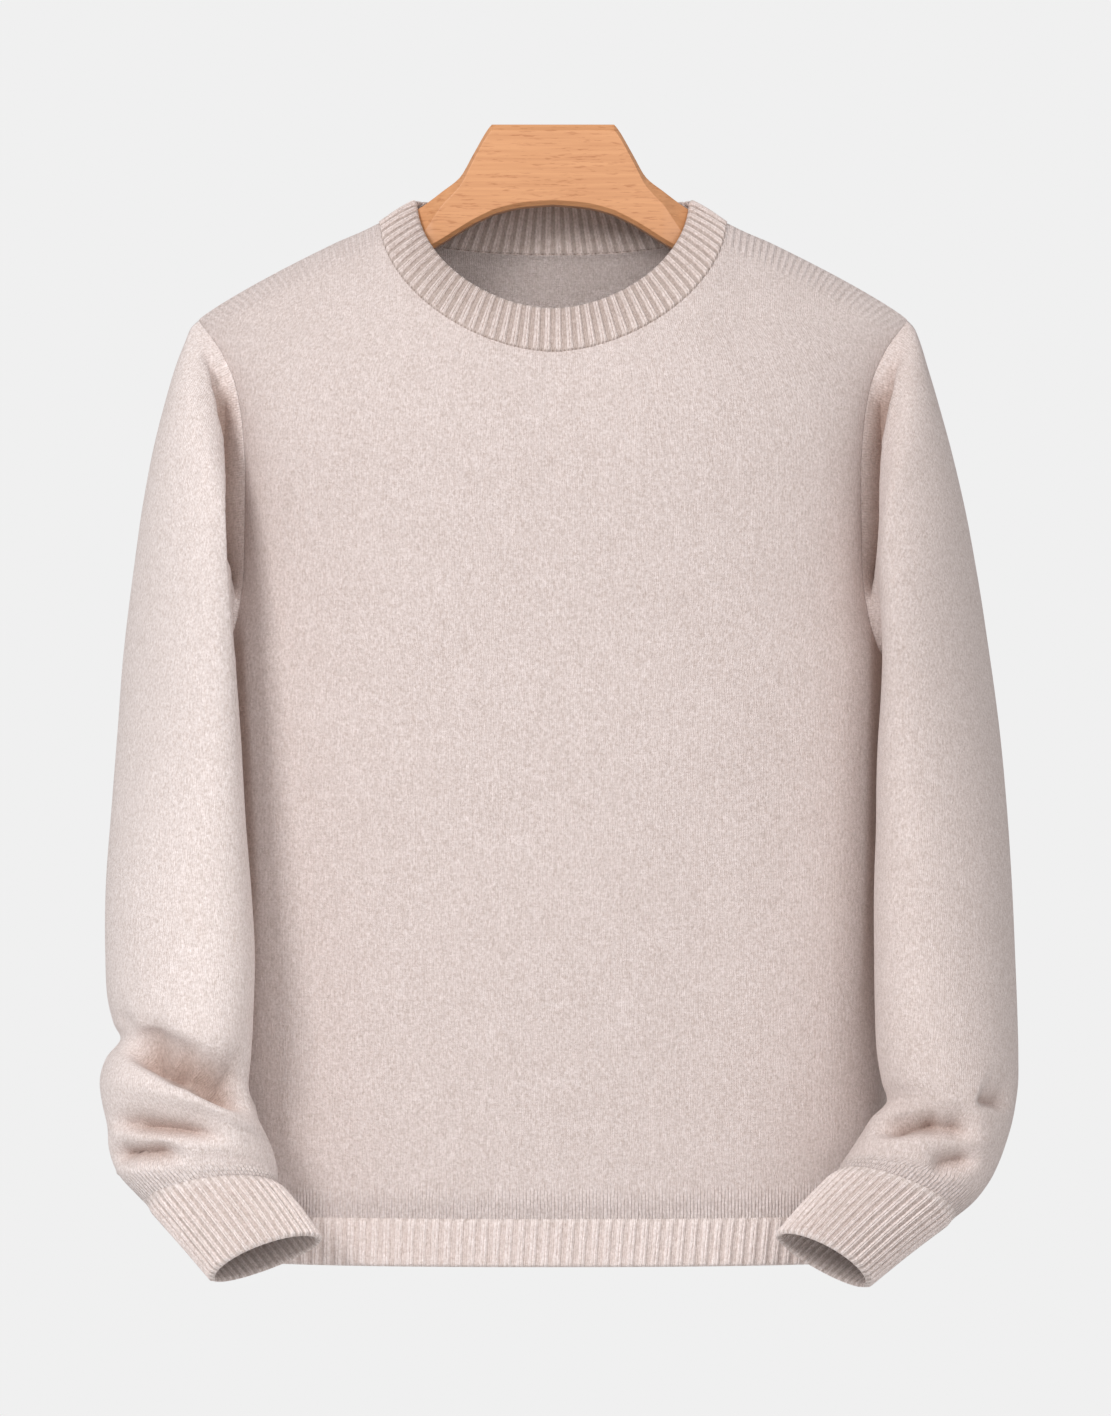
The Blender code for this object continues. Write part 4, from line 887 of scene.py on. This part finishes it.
def rib_relief(phase):
    """Height of a rib across its pitch, as a share: two round wales with a fine line between them,
    and a low purl wale in the recess."""
    at = phase % 1.0
    from_recess = np.minimum(at, 1 - at)
    rise = smoothstep(0.17, 0.33, from_recess)
    line = np.exp(-(((at - 0.5) / 0.05) ** 2))
    return rise * (1 - 0.40 * line) + 0.08 * np.exp(-((from_recess / 0.08) ** 2))


def closing_edge(distance, reach):
    """How far ribs have risen at a distance from the edge where they close: a quarter round."""
    share = np.clip(distance / reach, 0, 1)
    return np.sqrt(1 - (1 - share) ** 2)


def ribbed(base, facing, phase, seam_share, edge_share, closed, name, uv):
    """A ribbed wall: the base moved out by its ribs on the outer side, and in by the wall and the
    ribs of the other face on the inner side. seam_share lets the ribs rise out of the seam, and
    edge_share rounds both sides off at the open edge."""
    rise = rib_relief(phase) * edge_share * seam_share
    outer = base + (RIB_RISE * rise - 0.5 * WALL * (1 - edge_share))[..., None] * facing
    hollow = rib_relief(phase + 0.5)
    inner = base - ((WALL + 0.5 * RIB_RISE * hollow) * (0.5 + 0.5 * edge_share))[..., None] * facing
    return knit_mesh(name, outer, inner, closed, uv)


def neckband(name):
    """The ribbed band, from the panels' neckline to its rim, on a slight crown between them."""
    seams, rims, faces_seam, phases = [], [], [], []
    for is_front in (True, False):
        ribs = FRONT_NECK_RIBS if is_front else BACK_NECK_RIBS
        steps = ribs * STEPS_PER_RIB
        fine = neck_angles(is_front, np.linspace(0, 1, steps + 1))
        across, _, height = band_arch(FRONT_SEAM if is_front else BACK_SEAM, fine)
        seam = on_panel(across, height, is_front)
        tangent = np.gradient(seam, axis=0)
        below = on_panel(across, height - 1.0 * MM, is_front)
        normal = unit(np.cross(tangent, seam - below)) * (1 if is_front else -1)
        rim = np.stack(band_arch(FRONT_RIM if is_front else BACK_RIM, fine), axis=1)
        phase = np.arange(steps + 1) / STEPS_PER_RIB
        if not is_front:
            seam, rim, normal = seam[::-1], rim[::-1], normal[::-1]
            phase = phase + FRONT_NECK_RIBS
        seams.append(seam[:-1])
        rims.append(rim[:-1])
        faces_seam.append(normal[:-1])
        phases.append(phase[:-1])
    seam, rim = np.concatenate(seams), np.concatenate(rims)
    facing, phase = np.concatenate(faces_seam), np.concatenate(phases)
    tangent = np.roll(rim, -1, axis=0) - np.roll(rim, 1, axis=0)
    rim_facing = unit(np.cross(tangent, rim - seam))
    turned_round = np.sum(rim_facing * facing, axis=1, keepdims=True) < 0
    rim_facing = np.where(turned_round, -rim_facing, rim_facing)
    share = np.linspace(0, 1, BAND_ROWS + 1)[:, None, None]
    base = seam + share * (rim - seam)
    turned = unit((1 - share) * facing + share * rim_facing)
    base = base + 4 * BAND_CROWN * share * (1 - share) * turned
    width = np.linalg.norm(rim - seam, axis=1)
    distance = (1 - share[..., 0]) * width
    edge = closing_edge(distance, BAND_RIM_CLOSE)
    edge = edge * (0.45 + 0.55 * closing_edge(share[..., 0] * width, BAND_SEAM_CLOSE))
    phase_grid = np.broadcast_to(phase, base.shape[:2])
    uv_phase = np.append(phase, phase[-1] + 1 / STEPS_PER_RIB)
    uv = np.stack(
        [
            np.broadcast_to(WALES_PER_RIB * uv_phase, (BAND_ROWS + 1, len(uv_phase))),
            np.broadcast_to(share[..., 0] * BAND_WIDTH / COURSE, (BAND_ROWS + 1, len(uv_phase))),
        ],
        axis=-1,
    )
    return ribbed(base, turned, phase_grid, 1.0, edge, True, name, uv)


def hem_rib(name, is_front):
    """Half of the hem's ribbed band: the body's level section at each height, with ribs that lean
    a little and close over at the bottom."""
    turn = np.linspace(0, np.pi, FINE_POINTS)
    column = "front_depth" if is_front else "back_depth"
    power = 2 / ROUNDNESS
    heights = np.linspace(HEM_SEAM, HEM_BOTTOM, HEM_ROWS + 1)
    steps = HEM_RIBS * STEPS_PER_RIB
    rows, facings = [], []
    for height in heights:
        wide, deep = body_size("half_width", height), body_size(column, height)
        across = -wide * np.sign(np.cos(turn)) * np.abs(np.cos(turn)) ** power
        depth = deep * np.abs(np.sin(turn)) ** power
        slope_x = np.sign(across) * (np.abs(across) / wide) ** (ROUNDNESS - 1) / wide
        slope_y = (depth / deep) ** (ROUNDNESS - 1) / deep
        if is_front:
            depth, slope_y = -depth, -slope_y
        line = np.stack([across, depth, np.full_like(across, height)], axis=1)
        facing = np.stack([slope_x, slope_y, np.zeros_like(across)], axis=1)
        index = even_stations(line, np.linspace(0, 1, steps + 1))
        rows.append(at_index(index, line))
        facings.append(unit(at_index(index, facing)))
    base, facing = np.stack(rows), np.stack(facings)
    down = (HEM_SEAM - heights)[:, None]
    phase = np.arange(steps + 1) / STEPS_PER_RIB
    lean = 0.25 * down / (HEM_SEAM - HEM_BOTTOM)
    ends = smoothstep(0, 2.0, np.minimum(phase, HEM_RIBS - phase))
    phase_grid = phase + lean * ends
    edge = closing_edge(heights[:, None] - HEM_BOTTOM, RIB_CLOSE)
    edge = np.broadcast_to(edge, phase_grid.shape)
    courses = np.broadcast_to(-down / COURSE, phase_grid.shape)
    uv = np.stack([WALES_PER_RIB * phase_grid, courses], axis=-1)
    risen = smoothstep(0, HEM_RIB_START, down)
    return ribbed(base, facing, phase_grid, risen, edge, False, name, uv)


def cuff(name, rows, side):
    """A ribbed cuff: rings of one pitch of ribs, which close over at the mouth."""
    fine = np.linspace(0, 2 * np.pi, FINE_POINTS + 1)
    steps = CUFF_RIBS * STEPS_PER_RIB
    places = np.arange(steps) / STEPS_PER_RIB
    index = even_stations(ring_points(rows, 1, side, fine), places / CUFF_RIBS)
    angle = np.interp(index, np.arange(len(fine)), fine)
    rings = np.stack([ring_points(rows, ring, side, angle) for ring in range(len(rows["own"]))])
    axes = np.stack([ring_axis(rows, ring, side) for ring in range(len(rows["own"]))])
    spans = np.linalg.norm(np.diff(rings, axis=0), axis=2).mean(axis=1)
    knots = np.concatenate([[0.0], np.cumsum(spans)])
    at = np.linspace(0, knots[-1], CUFF_ROWS + 1)
    base = through_rings(knots, rings, at)
    axis = unit(through_rings(knots, axes[:, None, :], at))
    step = np.roll(base, -1, axis=1) - np.roll(base, 1, axis=1)
    facing = unit(np.cross(step, axis))
    facing = facing * (-1 if np.sum(facing * (base - base.mean(axis=1, keepdims=True))) < 0 else 1)
    phase_grid = np.broadcast_to(places, base.shape[:2])
    edge = np.broadcast_to(closing_edge((at[-1] - at)[:, None], RIB_CLOSE), base.shape[:2])
    uv_places = WALES_PER_RIB * np.append(places, CUFF_RIBS)
    uv = np.stack(
        [
            np.broadcast_to(uv_places, (CUFF_ROWS + 1, steps + 1)),
            np.broadcast_to(-at[:, None] / COURSE, (CUFF_ROWS + 1, steps + 1)),
        ],
        axis=-1,
    )
    risen = smoothstep(0, CUFF_RIB_START, at[:, None])
    return ribbed(base, facing, phase_grid, risen, edge, True, name, uv)


def hanger(name):
    """The hanger: eight-sided sections from tip to tip, joined by a smooth curve, its long edges
    rounded over."""
    half = (np.stack(list(HANGER.values()), axis=1) * MM).tolist()
    for row in range(len(ARM_STATIONS["across"])):
        across = ARM_STATIONS["across"][row] * MM
        top = float(ridge_height(across)) - ARM_STATIONS["seat"][row] * MM
        thick = ARM_STATIONS["half_thickness"][row] * MM
        bottom = ARM_STATIONS["bottom"][row] * MM
        half.append([across, top, bottom, thick, ARM_TOP_FLAT, ARM_TOP_DROP])
    half = np.array(half)
    across = np.unique(np.concatenate([np.linspace(0, half[-1, 0], 90), half[:, 0]]))
    sizes = np.stack([smooth_curve(half[:, 0], half[:, k], across) for k in range(1, 6)], axis=1)
    across = np.concatenate([-across[::-1], across[1:]])
    top, bottom, thick, flat, drop = np.concatenate([sizes[::-1], sizes[1:]]).T
    right = [
        (flat, top),
        (thick, top - drop),
        (thick, bottom + HANGER_EDGE),
        (thick - HANGER_EDGE, bottom),
    ]
    loop = right + [(-y, z) for y, z in right[::-1]]
    points = np.stack([np.stack([across, y, z], axis=1) for y, z in loop], axis=1)
    sections, corners = points.shape[:2]
    points = points - (0, 0, TABLE_LEVEL)
    faces = quads(sections, corners, True)[2]
    mesh = bpy.data.meshes.new(name)
    ends = [list(range(corners)), list(range((sections - 1) * corners, sections * corners))[::-1]]
    mesh.from_pydata(points.reshape(-1, 3).tolist(), [], faces[:, ::-1].tolist() + ends)
    mesh.polygons.foreach_set("use_smooth", np.ones(len(mesh.polygons), bool))
    mesh.set_sharp_from_angle(angle=HANGER_SHARP_ANGLE)
    made = new_object(name, mesh)
    bevel = made.modifiers.new("edges", "BEVEL")
    bevel.width = HANGER_ROUNDING
    bevel.segments = 3
    bevel.limit_method = "ANGLE"
    bevel.angle_limit = HANGER_ROUNDED_ANGLE
    return made


# ---------------------------------------------------------------- materials
def add_node(tree, kind, inputs=(), **settings):
    """A node with its settings, and its inputs set to constants or linked to sockets."""
    node = tree.nodes.new(kind)
    for key, value in settings.items():
        setattr(node, key, value)
    for key, value in dict(inputs).items():
        if isinstance(value, bpy.types.NodeSocket):
            tree.links.new(value, node.inputs[key])
        else:
            node.inputs[key].default_value = value
    return node


def maths(tree, operation, *values):
    """The result of a Math node on constants or sockets."""
    return add_node(tree, "ShaderNodeMath", dict(enumerate(values)), operation=operation).outputs[0]


def noise(tree, place, scale, detail, roughness=0.5):
    """The result of a Noise node."""
    inputs = {"Vector": place, "Scale": scale, "Detail": detail, "Roughness": roughness}
    return add_node(tree, "ShaderNodeTexNoise", inputs).outputs["Fac"]


def spread(tree, value, limits, results, kind="LINEAR"):
    """A value between two limits as one between two results, evenly or by a smooth S."""
    names = ("From Min", "From Max", "To Min", "To Max")
    inputs = {"Value": value, **dict(zip(names, (*limits, *results)))}
    return add_node(tree, "ShaderNodeMapRange", inputs, interpolation_type=kind).outputs[0]


def new_material(name, sockets):
    """A material, its node tree and its shader, with the constants of the shader's own sockets."""
    material = bpy.data.materials.new(name)
    material.use_nodes = True
    shader = material.node_tree.nodes["Principled BSDF"]
    for key, value in sockets.items():
        shader.inputs[key].default_value = value
    return material, material.node_tree, shader


def rib_shade_and_linking(tree, split, recess, linking):
    """Painted shade and highlight of a ribbed piece across its ribs, of some wales each: painted
    shade in the recess and on the fine line at the rib's middle, a painted highlight on the two
    wales beside that line, and at each wale of the seam a stitch, as dark as `linking` says."""
    place = maths(tree, "FRACT", maths(tree, "DIVIDE", split.outputs["X"], WALES_PER_RIB))
    from_middle = maths(tree, "ABSOLUTE", maths(tree, "SUBTRACT", place, 0.5))
    rise = spread(tree, from_middle, (0.20, 0.34), (1.08, recess), "SMOOTHSTEP")
    line = spread(tree, from_middle, (0.0, 0.08), (0.86, 1.0), "SMOOTHSTEP")
    distance = maths(tree, "ABSOLUTE", split.outputs["Y"])
    near_seam = spread(tree, distance, (0.25, 0.9), (linking, 0.0), "SMOOTHSTEP")
    stitch = maths(tree, "COSINE", maths(tree, "MULTIPLY", split.outputs["X"], 2 * np.pi))
    hole = maths(tree, "MULTIPLY", near_seam, maths(tree, "MULTIPLY_ADD", stitch, 0.5, 0.5))
    ribs = maths(tree, "MULTIPLY", rise, line)
    return maths(tree, "MULTIPLY", ribs, maths(tree, "SUBTRACT", 1.0, hole))


def standing_wales(tree, split):
    """Soft upright stripes where the wales stand out: one wale wide above the hem, two wide under
    the shoulder line."""
    hem, shoulder, count = (
        add_node(tree, "ShaderNodeAttribute", attribute_name=name).outputs["Fac"]
        for name in ("hem_wales", "shoulder_wales", "shoulder_count")
    )
    narrow = maths(tree, "SINE", maths(tree, "MULTIPLY", split.outputs["X"], 2 * np.pi))
    wide = maths(tree, "SINE", maths(tree, "MULTIPLY", count, np.pi))
    return maths(tree, "MULTIPLY_ADD", hem, narrow, maths(tree, "MULTIPLY", shoulder, wide))


def knit_material(name, colour, ribs=None):
    """Fine heathered knit: V-shaped stitches as bump from the stitch counts, soft flecks of lighter
    and darker yarn, and a brushed surface as sheen. Painted shade, warmer as it deepens, darkens
    the colour between the strands, in the ribs' recesses and where the valley mark says, with a
    painted highlight on the strands' tops and the ribs' wales, and painted light and shade across
    standing wales. Ribs are given by how bright their painted recess shade is and how dark the
    stitches of their seam are."""
    material, tree, shader = new_material(
        name,
        {
            "Roughness": 0.95,
            "Specular IOR Level": 0.15,
            "Sheen Weight": 0.25,
            "Sheen Roughness": 0.5,
            "Sheen Tint": (1.0, 0.96, 0.94, 1.0),
        },
    )
    place = add_node(tree, "ShaderNodeTexCoord").outputs["Object"]
    uv = add_node(tree, "ShaderNodeUVMap", uv_map="stitches").outputs["UV"]
    wobble = noise(tree, place, 160.0, 1.0)
    split = add_node(tree, "ShaderNodeSeparateXYZ", {"Vector": uv})
    across = maths(tree, "MULTIPLY_ADD", wobble, 0.9, split.outputs["X"])
    along = maths(tree, "MULTIPLY_ADD", wobble, 2.4, split.outputs["Y"])
    # distance from a wale's middle, 0 to 0.5, and the two legs of its V leaning up and out
    leg = maths(tree, "ABSOLUTE", maths(tree, "SUBTRACT", maths(tree, "FRACT", across), 0.5))
    strand = maths(tree, "SINE", maths(tree, "MULTIPLY", leg, 2 * np.pi))
    lean = maths(tree, "FRACT", maths(tree, "SUBTRACT", along, maths(tree, "MULTIPLY", leg, 1.3)))
    loop = maths(tree, "SINE", maths(tree, "MULTIPLY", lean, np.pi))
    strand = maths(tree, "POWER", strand, 0.7)
    stitch = maths(tree, "MULTIPLY", strand, maths(tree, "ADD", loop, 0.8))
    fluff = maths(tree, "MULTIPLY", noise(tree, place, 420.0, 3.0, 0.65), 1.8)
    rough = maths(tree, "MULTIPLY_ADD", noise(tree, place, 1500.0, 3.0, 0.7), 0.9, fluff)
    height = maths(tree, "MULTIPLY_ADD", stitch, 0.55, rough)
    # painted shade and highlight: the yarn is drawn a little darker deep between the strands and a
    # little lighter on their tops
    deep = spread(tree, height, (1.0, 2.3), (0.91, 1.05))
    if ribs:
        painted_shade_and_highlight = maths(tree, "MULTIPLY", deep, rib_shade_and_linking(tree, split, *ribs))
    else:
        stripes = standing_wales(tree, split)
        # the stripes raise the standing wales as bump, and also paint them lighter and darker in
        # turn: painted light and shade of that relief
        height = maths(tree, "MULTIPLY_ADD", stripes, 1.5, height)
        painted_shade_and_highlight = maths(tree, "MULTIPLY", deep, maths(tree, "MULTIPLY_ADD", stripes, 0.045, 1.0))
    bump = add_node(
        tree, "ShaderNodeBump", {"Height": height, "Strength": 1.0, "Distance": STITCH_DEPTH}
    )
    upright = add_node(tree, "ShaderNodeMapping", {"Vector": place, "Scale": (1.0, 1.0, 0.3)})
    streak = noise(tree, upright.outputs[0], 900.0, 2.0)
    tone = maths(tree, "MULTIPLY", noise(tree, place, 620.0, 3.0, 0.6), 0.57)
    tone = maths(tree, "MULTIPLY_ADD", streak, 0.38, tone)
    tone = maths(tree, "MULTIPLY_ADD", noise(tree, place, 34.0, 2.0), 0.05, tone)
    ramp = add_node(tree, "ShaderNodeValToRGB", {"Fac": tone})
    stops = ramp.color_ramp.elements
    stops[0].position, stops[1].position = FLECK_LIMITS
    stops[0].color = (*(np.array(colour) * YARN_DARK), 1)
    stops[1].color = (*np.minimum(np.array(colour) * YARN_BRIGHT, 1), 1)
    # painted shade: the colour darkens towards the valley's shade colour where the valley mark says
    painted_shade_mark = add_node(tree, "ShaderNodeAttribute", attribute_name="valley").outputs["Fac"]
    shade = add_node(tree, "ShaderNodeMix", {"Factor": painted_shade_mark}, data_type="RGBA")
    shade.inputs["A"].default_value = (1, 1, 1, 1)
    shade.inputs["B"].default_value = (*VALLEY_SHADE_COLOUR, 1)
    factors = {0: ramp.outputs["Color"], 1: shade.outputs["Result"]}
    colour_with_painted_shade = add_node(tree, "ShaderNodeVectorMath", factors, operation="MULTIPLY")
    # the painted shade made warmer as it deepens
    warm_painted_shade = add_node(
        tree,
        "ShaderNodeCombineXYZ",
        {axis: maths(tree, "POWER", painted_shade_and_highlight, power) for axis, power in zip("XYZ", SHADE_WARMTH_POWERS)},
    )
    factors = {0: colour_with_painted_shade.outputs[0], 1: warm_painted_shade.outputs[0]}
    shaded = add_node(tree, "ShaderNodeVectorMath", factors, operation="MULTIPLY")
    tree.links.new(shaded.outputs[0], shader.inputs["Base Color"])
    tree.links.new(bump.outputs["Normal"], shader.inputs["Normal"])
    return material


def wood_material(name):
    """Light beech: long soft grain along the arms, short darker flecks and a satin lacquer."""
    material, tree, shader = new_material(
        name, {"Roughness": 0.42, "Coat Weight": 0.15, "Coat Roughness": 0.25}
    )
    place = add_node(tree, "ShaderNodeTexCoord").outputs["Object"]
    darks = []
    for stretch, scale, low, high, share in (
        ((5.0, 60.0, 170.0), 3.0, 0.35, 0.70, 0.42),
        ((110.0, 200.0, 900.0), 1.0, 0.57, 0.68, 0.60),
    ):
        along = add_node(tree, "ShaderNodeMapping", {"Vector": place, "Scale": stretch})
        grain = noise(tree, along.outputs[0], scale, 4.0)
        darks.append(spread(tree, grain, (low, high), (0.0, share)))
    dark = maths(tree, "ADD", *darks)
    colour = add_node(tree, "ShaderNodeMix", {"Factor": dark}, data_type="RGBA")
    colour.inputs["A"].default_value = (*BEECH, 1)
    colour.inputs["B"].default_value = (*BEECH_DARK, 1)
    tree.links.new(colour.outputs["Result"], shader.inputs["Base Color"])
    return material


# ---------------------------------------------------------------- stage
def area_light(name, place, towards, size, power):
    """A square soft light at a place, turned towards a point."""
    data = bpy.data.lights.new(name, "AREA")
    data.size = size
    data.energy = power
    made = new_object(name, data)
    made.location = place
    direction = np.array(towards, float) - np.array(place, float)
    flat = np.hypot(direction[0], direction[1])
    made.rotation_euler = (
        np.arctan2(flat, -direction[2]),
        0.0,
        np.arctan2(-direction[0], direction[1]),
    )


def studio():
    """A pale room: an even sky, a strong soft light from the left and a larger weak one from the
    right, and a pale floor far below."""
    world = bpy.data.worlds.new("studio")
    bpy.context.scene.world = world
    world.use_nodes = True
    tree = world.node_tree
    seen = add_node(tree, "ShaderNodeLightPath").outputs["Is Camera Ray"]
    level = spread(tree, seen, (0.0, 1.0), (SKY_LIGHT, BACKGROUND))
    tree.links.new(level, tree.nodes["Background"].inputs["Strength"])
    tree.nodes["Background"].inputs["Color"].default_value = (1.0, 1.0, 1.0, 1.0)
    bpy.context.scene.view_settings.view_transform = "Standard"
    for row in range(len(LIGHTS["power"])):
        light = {key: float(values[row]) for key, values in LIGHTS.items()}
        place = (light["x"], light["y"], light["z"])
        area_light("light%d" % row, place, LIGHTS_TOWARDS, light["size"], light["power"])
    corners = FLOOR_REACH * np.array([(-1, -1, 0), (1, -1, 0), (1, 1, 0), (-1, 1, 0)])
    floor = plain_mesh("floor", corners + (0, 0, FLOOR_LEVEL), np.array([[0, 1, 2, 3]]))
    paint = new_material("floor", {"Base Color": FLOOR_PAINT, "Roughness": 0.9})[0]
    floor.data.materials.append(paint)


def camera():
    """The photograph's camera: level, square on, 5 m away, framed on the whole garment."""
    data = bpy.data.cameras.new("camera")
    data.sensor_fit = "VERTICAL"
    data.sensor_height = SENSOR
    data.lens = SENSOR * FRAME_DISTANCE / FRAME_HEIGHT
    made = new_object("camera", data)
    made.location = CAMERA_PLACE
    made.rotation_euler = (np.pi / 2, 0, 0)
    bpy.context.scene.camera = made


def dress(made, node, material):
    """Ties a piece to the frame: what it rides on, the frame's part that it stands for and hides,
    and the cloth that it is cut from."""
    made.data.materials.append(material)
    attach(made, "root")
    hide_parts(node)


def build():
    """All of the pieces, then the stage."""
    wood = hanger("hanger_wood")
    dress(wood, "hanger", wood_material("beech"))
    knit = {
        name: knit_material("knit_" + name, colour, RIB_SHADES_AND_LINKING.get(name))
        for name, colour in YARN_WITH_PAINTED_LIGHT.items()
    }
    front, back = panel("front_panel", True), panel("back_panel", False)
    dress(front, "front", knit["front"])
    dress(back, "back", knit["back"])
    arms = ((-1, "left", LEFT_SLEEVE, LEFT_CUFF), (1, "right", RIGHT_SLEEVE, RIGHT_CUFF))
    for side, word, rows, cuff_rows in arms:
        node, arm = "sleeve_" + word, "arm_" + word
        dress(sleeve(arm, rows, side), node, knit[node])
        node, wrist = "cuff_" + word, "wrist_" + word
        dress(cuff(wrist, cuff_rows, side), node, knit[node])
    band = neckband("collar_band")
    dress(band, "neckband", knit["neckband"])
    welt = hem_rib("hem_front", True)
    dress(welt, "hem_rib_front", knit["hem_rib_front"])
    welt = hem_rib("hem_back", False)
    dress(welt, "hem_rib_back", knit["hem_rib_back"])
    studio()
    camera()


build()
